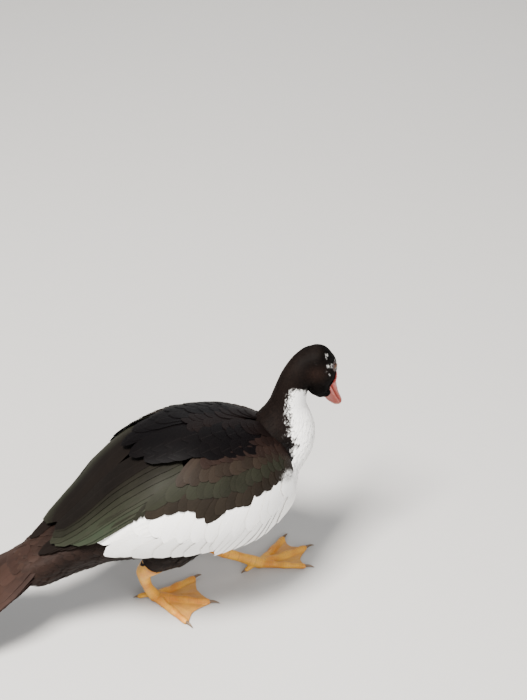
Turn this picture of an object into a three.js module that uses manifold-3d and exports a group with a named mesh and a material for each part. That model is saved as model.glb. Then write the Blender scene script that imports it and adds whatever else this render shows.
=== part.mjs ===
// A life-size still model of a female muscovy duck in mid stride, looking down at the ground ahead.
// Millimetres, +Z up. +X is the way the duck walks, +Y its left side, and the floor is z = 0.
import * as THREE from "three";
import { mergeVertices } from "three/addons/utils/BufferGeometryUtils.js";
import Module from "manifold-3d";

const wasm = await Module();
wasm.setup();

const GAP = 0.3; // between nodes that touch
const SKIN_CLEARANCE = 0.45; // a wing or thigh keeps this far off the torso's facets

// Rings of the body: [x, top z, widest z, bottom z, half width], from the breast to the tail's root.
const TORSO = [
  [133, 146, 146, 146, 0],
  [130, 167, 146, 127, 22],
  [120, 186, 147, 112, 42],
  [98, 205, 148, 96, 61],
  [60, 215, 149, 83, 77],
  [15, 218, 148, 81, 81],
  [-30, 207, 144, 84, 74],
  [-70, 182, 136, 87, 58],
  [-105, 148, 121, 85, 42],
  [-135, 124, 107, 82, 33],
  [-160, 108, 96, 78, 27],
  [-178, 97, 88, 75, 19],
  [-184, 86, 85, 84, 0],
];

// The outer surface of the folded wings and the feathers over the back, in the same kind of rings.
const CLOAK = [
  [135, 147, 147, 147, 0],
  [132, 169, 147, 126, 25],
  [121, 189, 147, 111, 48],
  [98, 208, 148, 95, 66],
  [60, 221, 149, 82, 84],
  [15, 226, 148, 79, 89],
  [-30, 216.5, 145, 81, 84],
  [-70, 193, 138, 84, 69.5],
  [-105, 160, 126, 82, 51],
  [-140, 131, 111, 79, 36],
  [-175, 108, 96, 75, 26],
  [-205, 97, 86, 72, 17],
  [-212, 85, 84, 83, 0],
];

// The neck: centre x, y, z, then half width and half depth.
const NECK = [
  [97, 0, 150, 37, 35],
  [110, 0, 174, 37, 36],
  [117, 0, 196, 31, 31],
  [122, 0, 213, 24, 25],
  [126, 0, 231, 18.5, 19.5],
  [132, -0.5, 250, 17, 18],
  [142, -1, 266, 17, 18],
  [155, 0, 277, 15, 15],
  [166, 2, 280, 8, 8],
];

// The head's own frame: +X along the mouth towards the bill's tip, +Z up through the crown,
// with its origin midway between the eyes.
const HEAD_ORIGIN = [166, 4, 264];
const HEAD_TURN = 38; // degrees to the left of the body
const HEAD_DIP = 53; // degrees that the mouth line points below the horizon
const HEAD = [
  [-33.5, -1, -1, -1, 0],
  [-31.5, 7, -1, -9, 8],
  [-25, 12.2, -3, -17, 13],
  [-13, 15.6, -5.5, -24, 15.8],
  [2, 16, -6.5, -27.5, 16.4],
  [12, 12.6, -7.5, -26.5, 14.6],
  [20, 6.8, -7.5, -21, 11.8],
  [27, 2, -8, -16, 9.8],
  [28, -8, -8, -8, 0],
];
const BILL_ROOT = 22; // where the feathers end and the bill begins
const UPPER_BILL = [
  [18, -5, -5, -5, 0],
  [18, 6.5, -7, -11.6, 11],
  [26, 2.4, -8.4, -12.2, 10.2],
  [36, -3.2, -10.6, -13.2, 9.6],
  [48, -8, -12.9, -15, 10],
  [60, -11, -14.6, -16.6, 10.8],
  [67, -13.4, -16, -18, 8.6],
  [71, -16.4, -17.6, -19.2, 4.4],
  [72, -18.4, -18.4, -18.4, 0],
];
const LOWER_BILL = [
  [16, -15, -15, -15, 0],
  [16, -11.9, -14.5, -18.6, 9.6],
  [28, -12.7, -15, -18.4, 8.6],
  [44, -14.7, -16.4, -18.6, 8.4],
  [58, -16.7, -17.9, -19.6, 9.2],
  [65, -18.2, -19.2, -20.4, 7],
  [68, -19.9, -20.1, -20.3, 0],
];
const EYE_RADIUS = 5.3;
const EYE_CENTRE = [0, 11.4, 1.5];
const LID_RING = 4.5;
const LID_THICKNESS = 1.05;

// A leg's centre line from inside the body to the toes' root: x, y, z, half width, half depth.
const LEGS = {
  right: {
    side: -1,
    line: [
      [-4, -40, 118, 24, 34],
      [-18, -37, 96, 20, 26],
      [-36, -28, 74, 12, 14.5],
      [-45, -22, 60, 8.2, 9],
      [-44, -17, 47, 6.2, 6.6],
      [-39, -10, 27, 5, 5.4],
      [-33, -5, 12, 6, 6.4],
      [-30, -3.5, 5, 6.8, 6.4],
    ],
    hock: 3,
    ankle: 6,
    turn: -26,
    toes: { inner: [44, 60], middle: [0, 68], outer: [-41, 60] },
  },
  left: {
    side: 1,
    line: [
      [22, 40, 116, 24, 34],
      [24, 37, 94, 19, 26],
      [31, 28, 66, 12, 15],
      [42, 19, 42, 8.2, 9],
      [53, 15, 31, 6.2, 6.6],
      [74, 11, 19, 5, 5.4],
      [90, 8.5, 10, 6, 6.4],
      [97, 8, 5.5, 6.8, 6.2],
    ],
    hock: 3,
    ankle: 6,
    turn: 10,
    toes: { inner: [-32, 58], middle: [0, 68], outer: [30, 61] },
  },
};

const COLOURS = {
  black: [0x17161a, 0.55],
  white: [0xe9e6e1, 0.8],
  green: [0x1d2a22, 0.4],
  brown: [0x2a2422, 0.6],
  bill: [0xd98a86, 0.45],
  eye: [0x24150e, 0.1],
  leg: [0xd79a34, 0.55],
};

const radians = THREE.MathUtils.degToRad;
const lerp = THREE.MathUtils.lerp;

// A curve through values at rising knots that never overshoots them.
function smoothCurve(knots, values) {
  const steps = knots.slice(1).map((k, i) => (values[i + 1] - values[i]) / (k - knots[i]));
  const slopes = values.map((_, i) => {
    if (i === 0) return steps[0];
    if (i === steps.length) return steps[i - 1];
    const [a, b] = [steps[i - 1], steps[i]];
    return a * b <= 0 ? 0 : (2 * a * b) / (a + b);
  });
  return (k) => {
    let i = 0;
    while (i < steps.length - 1 && k > knots[i + 1]) i += 1;
    const span = knots[i + 1] - knots[i];
    const s = (k - knots[i]) / span;
    const rest = 1 - s;
    return (
      values[i] * rest * rest * (1 + 2 * s) +
      values[i + 1] * s * s * (3 - 2 * s) +
      span * s * rest * (slopes[i] * rest - slopes[i + 1] * s)
    );
  };
}

// A form made of upright rings. point(t, angle) is on its left side: t counts stations from the
// first one, and the angle runs from 0 on top through 90 at the side to 180 underneath.
function ringForm(stations, roundness = 0.92) {
  const knots = stations.map((_, i) => i);
  const [x, top, middle, bottom, half] = [0, 1, 2, 3, 4].map((k) =>
    smoothCurve(knots, stations.map((row) => row[k])),
  );
  const last = stations.length - 1;
  const bent = (v) => Math.sign(v) * Math.abs(v) ** roundness;
  const point = (t, angle) => {
    const across = bent(Math.sin(radians(angle)));
    const rise = bent(Math.cos(radians(angle)));
    const tall = rise > 0 ? top(t) - middle(t) : middle(t) - bottom(t);
    return new THREE.Vector3(x(t), half(t) * across, middle(t) + tall * rise);
  };
  const rising = stations[last][0] > stations[0][0];
  const stationAt = (place) => {
    let [low, high] = [0.02, last - 0.02];
    for (let i = 0; i < 24; i += 1) {
      const t = (low + high) / 2;
      if (x(t) < place === rising) low = t;
      else high = t;
    }
    return (low + high) / 2;
  };
  const normalAt = (t, angle) => {
    const along = point(t + 0.03, angle).sub(point(t - 0.03, angle));
    const round = point(t, angle + 1.5).sub(point(t, angle - 1.5));
    const normal = along.cross(round).normalize();
    return rising ? normal : normal.negate();
  };
  // A point lift mm off the surface, on the left side (1) or the right (-1), with its normal.
  const on = (place, angle, lift, side) => {
    const t = stationAt(place);
    const normal = normalAt(t, angle);
    const p = point(t, angle).addScaledVector(normal, lift);
    p.y *= side;
    normal.y *= side;
    return { p, normal };
  };
  return { point, on, last };
}

// A closed geometry from rings of points, capped at both ends by its middle.
function closedRings(rings) {
  const around = rings[0].length;
  const middle = (ring) =>
    ring.reduce((sum, p) => sum.add(p), new THREE.Vector3()).divideScalar(around);
  const points = [middle(rings[0]), ...rings.flat(), middle(rings[rings.length - 1])];
  const at = (i, j) => 1 + i * around + (j % around);
  const faces = [];
  for (let j = 0; j < around; j += 1) {
    faces.push(0, at(0, j + 1), at(0, j));
    faces.push(points.length - 1, at(rings.length - 1, j), at(rings.length - 1, j + 1));
    for (let i = 0; i + 1 < rings.length; i += 1) {
      faces.push(at(i, j), at(i, j + 1), at(i + 1, j + 1));
      faces.push(at(i, j), at(i + 1, j + 1), at(i + 1, j));
    }
  }
  return indexed(points, faces);
}

// A closed thin geometry between two grids of points that are split into triangles alike.
function closedSheet(upper, lower) {
  const [rows, columns] = [upper.length, upper[0].length];
  const points = [...upper.flat(), ...lower.flat()];
  const over = (i, j) => i * columns + j;
  const under = (i, j) => rows * columns + over(i, j);
  const faces = [];
  const side = (a, b, c, d) => faces.push(a, b, c, a, c, d);
  for (let i = 0; i + 1 < rows; i += 1) {
    for (let j = 0; j + 1 < columns; j += 1) {
      side(over(i, j), over(i + 1, j), over(i + 1, j + 1), over(i, j + 1));
      side(under(i, j), under(i, j + 1), under(i + 1, j + 1), under(i + 1, j));
    }
    side(over(i + 1, 0), over(i, 0), under(i, 0), under(i + 1, 0));
    const c = columns - 1;
    side(over(i, c), over(i + 1, c), under(i + 1, c), under(i, c));
  }
  for (let j = 0; j + 1 < columns; j += 1) {
    side(over(0, j), over(0, j + 1), under(0, j + 1), under(0, j));
    const r = rows - 1;
    side(over(r, j + 1), over(r, j), under(r, j), under(r, j + 1));
  }
  return indexed(points, faces);
}

function indexed(points, faces) {
  const places = new Float32Array(points.flatMap((p) => [p.x, p.y, p.z]));
  return new THREE.BufferGeometry()
    .setAttribute("position", new THREE.BufferAttribute(places, 3))
    .setIndex(faces);
}

// A geometry as a solid for joining and cutting. A mirrored one comes in inside out and is turned.
function solid(geometry) {
  const bare = geometry.clone();
  bare.deleteAttribute("normal");
  bare.deleteAttribute("uv");
  const merged = mergeVertices(bare, 1e-4);
  const corners = new Uint32Array(merged.index.array);
  const places = merged.attributes.position.array;
  const make = () =>
    new wasm.Manifold(new wasm.Mesh({ numProp: 3, vertProperties: places, triVerts: corners }));
  const made = make();
  if (made.volume() >= 0) return made;
  for (let i = 0; i < corners.length; i += 3) {
    [corners[i + 1], corners[i + 2]] = [corners[i + 2], corners[i + 1]];
  }
  return make();
}

const joined = (solids) => solids.reduce((whole, piece) => whole.add(piece));

// The largest closed surface of a solid, without loose scraps or sealed hollows.
function largest(whole) {
  return whole.decompose().reduce((a, b) => (b.volume() > a.volume() ? b : a));
}

function geometryOf(whole) {
  const mesh = whole.getMesh();
  const n = mesh.numProp;
  const places = new Float32Array(mesh.numVert * 3);
  for (let i = 0; i < mesh.numVert; i += 1) {
    places.set(mesh.vertProperties.subarray(i * n, i * n + 3), i * 3);
  }
  return new THREE.BufferGeometry()
    .setAttribute("position", new THREE.BufferAttribute(places, 3))
    .setIndex(new THREE.BufferAttribute(new Uint32Array(mesh.triVerts), 1));
}

const duck = new THREE.Group();

function addNode(name, whole, [colour, roughness]) {
  const material = new THREE.MeshStandardMaterial({ color: colour, roughness, metalness: 0 });
  const mesh = new THREE.Mesh(geometryOf(largest(whole)), material);
  mesh.name = name;
  duck.add(mesh);
  return whole;
}

// Half of space as a big box, on the side of the point that the direction points to.
function beyond(point, direction) {
  const size = 900;
  const towards = new THREE.Vector3(...direction).normalize();
  const box = new THREE.BoxGeometry(size, size, size).translate(0, 0, size / 2);
  box.applyQuaternion(
    new THREE.Quaternion().setFromUnitVectors(new THREE.Vector3(0, 0, 1), towards),
  );
  return solid(box.translate(...point));
}

// Both sides of a cut GAP wide: [what lies beyond the point, what lies behind it].
function parted(whole, point, direction) {
  const towards = new THREE.Vector3(...direction).normalize();
  const shifted = (by) => new THREE.Vector3(...point).addScaledVector(towards, by).toArray();
  const back = towards.clone().negate().toArray();
  return [
    whole.intersect(beyond(shifted(GAP / 2), direction)),
    whole.intersect(beyond(shifted(-GAP / 2), back)),
  ];
}

// Every ring of a form as a closed geometry, swollen off its surface by lift.
function formGeometry(form, rings, around, lift = 0) {
  const stations = Array.from({ length: rings }, (_, i) => {
    const t = ((i + 1) / (rings + 1)) * form.last;
    return Array.from({ length: around }, (_, j) => form.point(t, (j / around) * 360));
  });
  const first = form.point(0, 0);
  const end = form.point(form.last, 0);
  const geometry = closedRings(stations);
  const places = geometry.attributes.position;
  places.setXYZ(0, first.x, first.y, first.z);
  places.setXYZ(places.count - 1, end.x, end.y, end.z);
  if (lift) {
    geometry.computeVertexNormals();
    const normals = geometry.attributes.normal;
    const inward = solidVolume(geometry) < 0 ? -1 : 1;
    for (let i = 0; i < places.count; i += 1) {
      places.setXYZ(
        i,
        places.getX(i) + normals.getX(i) * lift * inward,
        places.getY(i) + normals.getY(i) * lift * inward,
        places.getZ(i) + normals.getZ(i) * lift * inward,
      );
    }
  }
  return geometry;
}

function solidVolume(geometry) {
  const [p, q, r] = [0, 1, 2].map(() => new THREE.Vector3());
  let sum = 0;
  for (let i = 0; i < geometry.index.count; i += 3) {
    p.fromBufferAttribute(geometry.attributes.position, geometry.index.getX(i));
    q.fromBufferAttribute(geometry.attributes.position, geometry.index.getX(i + 1));
    r.fromBufferAttribute(geometry.attributes.position, geometry.index.getX(i + 2));
    sum += p.dot(q.cross(r)) / 6;
  }
  return sum;
}

// A tube of changing oval section along rows of [x, y, z, half width, half depth], from one
// station to another. front is the way its depth faces.
function oval(line, from, to, steps, around, front = [1, 0, 0]) {
  const knots = line.map((_, i) => i);
  const [x, y, z, half, deep] = [0, 1, 2, 3, 4].map((k) =>
    smoothCurve(knots, line.map((row) => row[k])),
  );
  const centre = (t) => new THREE.Vector3(x(t), y(t), z(t));
  const facing = new THREE.Vector3(...front);
  const rings = Array.from({ length: steps + 1 }, (_, i) => {
    const t = lerp(from, to, i / steps);
    const along = centre(Math.min(t + 0.05, line.length - 1))
      .sub(centre(Math.max(t - 0.05, 0)))
      .normalize();
    const deepWay = facing.clone().addScaledVector(along, -facing.dot(along)).normalize();
    const wideWay = along.clone().cross(deepWay);
    return Array.from({ length: around }, (_, j) => {
      const angle = (j / around) * 2 * Math.PI;
      return centre(t)
        .addScaledVector(wideWay, half(t) * Math.cos(angle))
        .addScaledVector(deepWay, deep(t) * Math.sin(angle));
    });
  });
  return closedRings(rings);
}

// The torso, neck and head are modelled whole and parted with thin cuts.
const torsoForm = ringForm(TORSO);
const cloakForm = ringForm(CLOAK);
const RINGS = 25;
const AROUND = 26;
const torsoSolid = solid(formGeometry(torsoForm, RINGS, AROUND));
const torsoSwollen = solid(formGeometry(torsoForm, RINGS, AROUND, SKIN_CLEARANCE));
const neckSolid = solid(oval(NECK, 0, NECK.length - 1, 13, 18));

const headPlace = new THREE.Matrix4()
  .makeTranslation(...HEAD_ORIGIN)
  .multiply(new THREE.Matrix4().makeRotationZ(radians(HEAD_TURN)))
  .multiply(new THREE.Matrix4().makeRotationY(radians(HEAD_DIP)));
const RUMP_CUT = [[-140, 0, 112], [1, 0, 0.35]]; // where the torso ends and the tail begins
const inHead = (geometry) => solid(geometry.applyMatrix4(headPlace));
const headPoint = (x, y, z) => new THREE.Vector3(x, y, z).applyMatrix4(headPlace);
const headWay = (x, y, z) => new THREE.Vector3(x, y, z).transformDirection(headPlace).toArray();

function headFlesh() {
  const skull = inHead(formGeometry(ringForm(HEAD, 0.95), 13, 18));
  const lids = [1, -1].map((side) =>
    inHead(
      new THREE.TorusGeometry(LID_RING, LID_THICKNESS, 5, 12)
        .rotateX(radians(90))
        .rotateZ(radians(-6 * side))
        .translate(EYE_CENTRE[0], side * (EYE_CENTRE[1] + 3.7), EYE_CENTRE[2]),
    ),
  );
  return joined([skull, ...lids]);
}

function eyeSolid(side, radius, wide, tall) {
  return inHead(
    new THREE.SphereGeometry(radius, wide, tall).translate(
      EYE_CENTRE[0],
      side * EYE_CENTRE[1],
      EYE_CENTRE[2],
    ),
  );
}

function buildBody() {
  const flesh = joined([torsoSolid, neckSolid, headFlesh()]);
  const [upperBody, trunk] = parted(flesh, [114, 0, 186], [1, 0, 1]);
  const [torso, tailCore] = parted(trunk, ...RUMP_CUT);
  const [upperHalf, lowerNeck] = parted(upperBody, [122, 0, 219], [0.3, 0, 1]);
  const cheek = headPoint(-12, 0, -15).toArray();
  const [head, upperNeck] = parted(upperHalf, cheek, headWay(0.55, 0, 0.83));
  const snout = headPoint(BILL_ROOT, 0, 0).toArray();
  const [, face] = parted(head, snout, headWay(1, 0, 0));
  const sockets = [1, -1].map((side) => eyeSolid(side, EYE_RADIUS + GAP, 14, 9));
  addNode("torso", torso, COLOURS.black);
  addNode("neck_lower", lowerNeck, COLOURS.white);
  addNode("neck_upper", upperNeck, COLOURS.black);
  addNode("head", sockets.reduce((left, socket) => left.subtract(socket), face), COLOURS.black);
  return tailCore;
}

function buildBill() {
  const snout = headPoint(BILL_ROOT, 0, 0).toArray();
  const front = (whole) => parted(whole, snout, headWay(1, 0, 0))[0];
  const upper = inHead(formGeometry(ringForm(UPPER_BILL, 0.85), 13, 14));
  const lower = inHead(formGeometry(ringForm(LOWER_BILL, 0.9), 11, 14));
  const nostrils = [1, -1].map((side) =>
    inHead(
      new THREE.SphereGeometry(1, 7, 5)
        .scale(3.4, 2.2, 1.5)
        .rotateY(radians(22))
        .translate(38, side * 7.6, -6.2),
    ),
  );
  const caruncles = [-1, 0, 1].map((k) =>
    inHead(
      new THREE.SphereGeometry(2.6 - 0.5 * Math.abs(k), 6, 4).translate(
        24.5,
        k * 4.2,
        4.2 - 1.4 * Math.abs(k),
      ),
    ),
  );
  const beak = nostrils.reduce((left, n) => left.subtract(n), joined([upper, ...caruncles]));
  const clearance = inHead(
    formGeometry(ringForm(UPPER_BILL, 0.85), 13, 14, GAP + 0.05),
  );
  addNode("bill_upper", front(beak), COLOURS.bill);
  addNode("bill_lower", front(lower).subtract(clearance), COLOURS.bill);
}

function buildEyes() {
  for (const [name, side] of [["left", 1], ["right", -1]]) {
    addNode(`eye_${name}`, eyeSolid(side, EYE_RADIUS, 14, 9), COLOURS.eye);
  }
}

// A toe lies on the floor from the foot's root to its claw. Its sole is cut flat later.
function toe(foot, [bearing, length], radius) {
  const way = radians(foot.turn + bearing);
  const root = foot.line[foot.line.length - 1];
  const at = (reach, height, half, deep) => [
    root[0] + Math.cos(way) * reach,
    root[1] + Math.sin(way) * reach,
    height,
    half,
    deep,
  ];
  const pads = [
    at(-2, 5, radius * 1.2, radius * 1.1),
    at(length * 0.22, 4.4, radius * 1.02, radius * 1.02),
    at(length * 0.36, 3.4, radius * 0.84, radius * 0.82),
    at(length * 0.5, 3.4, radius * 0.95, radius * 0.9),
    at(length * 0.66, 2.7, radius * 0.74, radius * 0.7),
    at(length * 0.82, 2.6, radius * 0.78, radius * 0.72),
    at(length * 0.91, 3, 1.9, 2.1),
    at(length * 1.02, 2.9, 1.2, 1.3),
    at(length * 1.1, 1.3, 0.4, 0.4),
  ];
  return solid(oval(pads, 0, 8, 9, 7, [0, 0, 1]));
}

// The web between two toes, with a front edge that curves back between their tips.
function web(foot, first, second) {
  const root = foot.line[foot.line.length - 1];
  const rows = 3;
  const columns = 3;
  const grid = (height) =>
    Array.from({ length: rows + 1 }, (_, i) =>
      Array.from({ length: columns + 1 }, (_, j) => {
        const share = j / columns;
        const way = radians(foot.turn + lerp(first[0], second[0], share));
        const length = lerp(first[1], second[1], share);
        const edge = 0.93 - 0.17 * Math.sin(Math.PI * share);
        const reach = lerp(3, length * edge, i / rows);
        return new THREE.Vector3(
          root[0] + Math.cos(way) * reach,
          root[1] + Math.sin(way) * reach,
          height + 1.5 * (1 - i / rows),
        );
      }),
    );
  return solid(closedSheet(grid(1.9), grid(0.7)));
}

function buildLeg(name, leg) {
  const { line, hock, ankle, toes } = leg;
  const axisLength = (i) =>
    new THREE.Vector3(...line[i]).distanceTo(new THREE.Vector3(...line[i + 1]));
  const back = (i) => GAP / axisLength(i);
  const thigh = solid(oval(line, 0, hock, 7, 16));
  const shank = solid(oval(line, hock + 2 * back(hock), ankle, 7, 12));
  const shankSpace = solid(
    oval(
      line.map(([x, y, z, half, deep]) => [x, y, z, half + GAP, deep + GAP]),
      hock + 0.5,
      ankle + back(ankle),
      6,
      12,
    ),
  );
  const heel = solid(oval(line, ankle - 0.3, line.length - 1, 3, 12));
  const root = line[line.length - 1];
  const way = radians(leg.turn + 180);
  const hallux = [
    [root[0], root[1], 8, 4, 4],
    [root[0] + Math.cos(way) * 9, root[1] + Math.sin(way) * 9, 6.5, 3, 3.2],
    [root[0] + Math.cos(way) * 16, root[1] + Math.sin(way) * 16, 3.6, 2.6, 2.8],
    [root[0] + Math.cos(way) * 22, root[1] + Math.sin(way) * 22, 1.6, 0.6, 0.6],
  ];
  const pieces = [
    heel,
    solid(oval(hallux, 0, 3, 4, 7, [0, 0, 1])),
    toe(leg, toes.inner, 4.4),
    toe(leg, toes.middle, 4.8),
    toe(leg, toes.outer, 4.5),
    web(leg, toes.inner, toes.middle),
    web(leg, toes.middle, toes.outer),
  ];
  const foot = joined(pieces).subtract(shankSpace).intersect(beyond([0, 0, 0], [0, 0, 1]));
  addNode(`thigh_${name}`, thigh.subtract(torsoSwollen), COLOURS.black);
  addNode(`shank_${name}`, shank, COLOURS.leg);
  addNode(`foot_${name}`, foot, COLOURS.leg);
}

// One flight or covert feather: a thin vane that tapers to a rounded tip along its spine, which
// gives a point and a normal from root (0) to tip (1). roll lifts one edge over the next feather.
const VANE_ROWS = {
  long: [0, 0.32, 0.66, 0.9, 1],
  short: [0, 0.45, 0.84, 1],
};
const VANE_SHAPE = smoothCurve([0, 0.3, 0.6, 0.85, 1], [0.5, 0.88, 1, 0.8, 0.36]);
const VANE_THICKNESS = 0.6;

function feather(spineAt, width, rows, roll = 0) {
  const faces = [[], []];
  for (const t of rows) {
    const { p, normal } = spineAt(t);
    const before = spineAt(Math.max(t - 0.04, 0)).p;
    const along = spineAt(Math.min(t + 0.04, 1)).p.clone().sub(before).normalize();
    const across = normal.clone().cross(along).normalize();
    const up = along.clone().cross(across).normalize();
    const half = (width / 2) * VANE_SHAPE(t);
    across.addScaledVector(up, Math.tan(radians(roll))).multiplyScalar(half);
    const edges = [p.clone().sub(across), p.clone().add(across)];
    faces[0].push(edges);
    faces[1].push(edges.map((q) => q.clone().addScaledVector(up, -VANE_THICKNESS)));
  }
  return solid(closedSheet(...faces));
}

// A feather's spine over a form, from root to tip, each [x, angle, height off the form].
function laidOn(form, side, root, tip, bow = 0) {
  return (t) =>
    form.on(
      lerp(root[0], tip[0], t),
      lerp(root[1], tip[1], t) + bow * 4 * t * (1 - t),
      lerp(root[2], tip[2], t ** 0.7),
      side,
    );
}

// Each tier of the folded wing runs from its first feather to its last. Roots are [x, angle from
// the top of the back] and tips have their height off the wing's outer surface as well.
const TIERS = [
  {
    name: "primaries",
    count: 3,
    root: [[-58, 72], [-58, 52]],
    tip: [[-156, 66, -4], [-180, 38, -3]],
    width: 16,
    rows: "long",
    roll: -12,
  },
  {
    name: "white secondaries",
    count: 7,
    root: [[70, 72], [-42, 56]],
    tip: [[14, 124, -2.4], [-100, 72, -3.6]],
    width: 24,
    rows: "long",
    roll: 11,
  },
  {
    name: "greater coverts",
    count: 6,
    root: [[94, 52], [-12, 44]],
    tip: [[70, 70, -0.4], [-50, 66, -0.4]],
    width: 22,
    rows: "short",
    roll: 3,
  },
  {
    name: "median coverts",
    count: 5,
    root: [[104, 32], [30, 30]],
    tip: [[82, 56, 1], [-6, 54, 1.4]],
    width: 25,
    rows: "short",
    roll: 2,
  },
  {
    name: "tertials",
    count: 4,
    root: [[-30, 54], [-22, 26]],
    tip: [[-116, 64, -2], [-140, 28, -2]],
    width: 31,
    rows: "long",
    roll: -17,
  },
  {
    name: "outer scapulars",
    count: 4,
    root: [[84, 19], [18, 20]],
    tip: [[40, 27, 1.2], [-42, 25, 1.8]],
    width: 27,
    rows: "short",
    roll: 3,
  },
  {
    name: "inner scapulars",
    count: 4,
    root: [[88, 7.5], [14, 7]],
    tip: [[38, 9.5, 1.8], [-60, 9, 2.4]],
    width: 27,
    rows: "short",
    roll: 3,
  },
];
const WING_CORE = {
  x: [120, -76],
  top: [26, 12, 9, 7, 6], // angles along its upper edge, front to rear
  bottom: [58, 84, 98, 94, 84], // and along its lower edge
  depth: [-2.2, -6], // of its outer face under the wing's surface, front to rear
  sunk: 1.4, // depth of the feathers' roots in it
};

function coreDepth(x) {
  const along = (WING_CORE.x[0] - x) / (WING_CORE.x[0] - WING_CORE.x[1]);
  return lerp(...WING_CORE.depth, THREE.MathUtils.clamp(along, 0, 1) ** 0.8);
}

function wingCore(side) {
  const [columns, rows] = [11, 6];
  const edge = (angles) => smoothCurve([0, 0.25, 0.5, 0.75, 1], angles);
  const [topAt, bottomAt] = [edge(WING_CORE.top), edge(WING_CORE.bottom)];
  const grid = (form, depthAt) =>
    Array.from({ length: columns }, (_, i) =>
      Array.from({ length: rows }, (_, j) => {
        const along = i / (columns - 1);
        const down = j / (rows - 1);
        const x = lerp(...WING_CORE.x, along);
        const angle = lerp(topAt(along), bottomAt(along), down);
        const rim = Math.min(1, 5 * Math.min(along, 1 - along), 4 * Math.min(down, 1 - down));
        return form.on(x, angle, depthAt(x) - 1.5 * (1 - rim), side).p;
      }),
    );
  return solid(closedSheet(grid(cloakForm, coreDepth), grid(torsoForm, () => -4)));
}

function tier({ count, root, tip, width, rows, roll }, side, random) {
  return Array.from({ length: count }, (_, i) => {
    const share = i / (count - 1);
    const between = ([a, b], spread) =>
      a.map((v, k) => lerp(v, b[k], share) + (k < 2 ? spread * (random() - 0.5) : 0));
    const [x, angle] = between(root, 1);
    const sunk = [x, angle, coreDepth(x) - WING_CORE.sunk];
    const spine = laidOn(cloakForm, side, sunk, between(tip, 3));
    return feather(spine, width * (0.96 + 0.08 * random()), VANE_ROWS[rows], roll * side);
  });
}

// Small even steps of a seeded sequence, so that every build draws the same feathers.
function seeded(seed) {
  let state = seed;
  return () => {
    state = (state * 16807) % 2147483647;
    return state / 2147483647;
  };
}

function buildWing(name, side, seed) {
  const random = seeded(seed);
  const feathers = TIERS.flatMap((row) => tier(row, side, random));
  const ownSide = beyond([0, side * 0.6, 0], [0, side, 0]);
  const wing = joined([wingCore(side), ...feathers]).subtract(torsoSwollen).intersect(ownSide);
  addNode(`wing_${name}`, wing, COLOURS.green);
}

// The tail: a fan of long feathers under and over shorter coverts, all rooted in the tail's core.
const TAIL = {
  root: [-160, 0, 99],
  droop: 30, // degrees below the horizon
  fan: 13, // degrees that the outermost feather leans outwards
  pairs: 5,
  length: 118,
  width: 25,
};

function tailSpine(bearing, droop, lift, length, sideways, sag) {
  const [x, y, z] = TAIL.root;
  return (t) => {
    const reach = length * t;
    const [turn, dip] = [radians(bearing), radians(droop)];
    const p = new THREE.Vector3(
      x - reach * Math.cos(turn) * Math.cos(dip),
      y + sideways + reach * Math.sin(turn),
      z + lift - reach * Math.sin(dip) + sag * t * t,
    );
    const normal = new THREE.Vector3(
      -Math.sin(dip),
      Math.sin(turn) * 0.9,
      Math.cos(dip),
    ).normalize();
    return { p, normal };
  };
}

function buildTail(core) {
  const pieces = [core];
  for (let pair = 0; pair < TAIL.pairs; pair += 1) {
    for (const side of [1, -1]) {
      const out = (pair + 0.5) / TAIL.pairs;
      const spine = tailSpine(
        side * TAIL.fan * out,
        TAIL.droop,
        3 - 1.9 * pair - (side < 0 ? 0.95 : 0),
        TAIL.length * (1 - 0.16 * out * out),
        side * 13 * out,
        4,
      );
      pieces.push(feather(spine, TAIL.width, VANE_ROWS.long));
    }
  }
  const coverts = [
    { count: 4, fan: 15, lift: 8, droop: 33, length: 50, spread: 14, width: 30 },
    { count: 4, fan: 13, lift: -18, droop: 25, length: 56, spread: 16, width: 28 },
  ];
  for (const { count, fan, lift, droop, length, spread, width } of coverts) {
    for (let i = 0; i < count; i += 1) {
      const out = (2 * i) / (count - 1) - 1;
      const flip = Math.sign(lift);
      const drop = flip * (2.2 * (i % 2) - 7 * out * out);
      const spine = tailSpine(fan * out, droop, lift + drop, length - 8 * out * out, spread * out, 0);
      pieces.push(feather(spine, width, VANE_ROWS.short));
    }
  }
  const [, tail] = parted(joined(pieces), ...RUMP_CUT);
  addNode("tail", tail, COLOURS.brown);
}

const tailCore = buildBody();
buildBill();
buildEyes();
for (const [name, leg] of Object.entries(LEGS)) buildLeg(name, leg);
buildWing("right", -1, 4711);
buildWing("left", 1, 815);
buildTail(tailCore);

// The origin is on the floor under the middle of the model.
const box = new THREE.Box3().setFromObject(duck);
duck.position.set(-(box.min.x + box.max.x) / 2, -(box.min.y + box.max.y) / 2, 0);

export default duck;
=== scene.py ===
import math
import bmesh
import bpy
import numpy as np
from mathutils import Matrix, Vector
from mathutils.bvhtree import BVHTree


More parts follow.
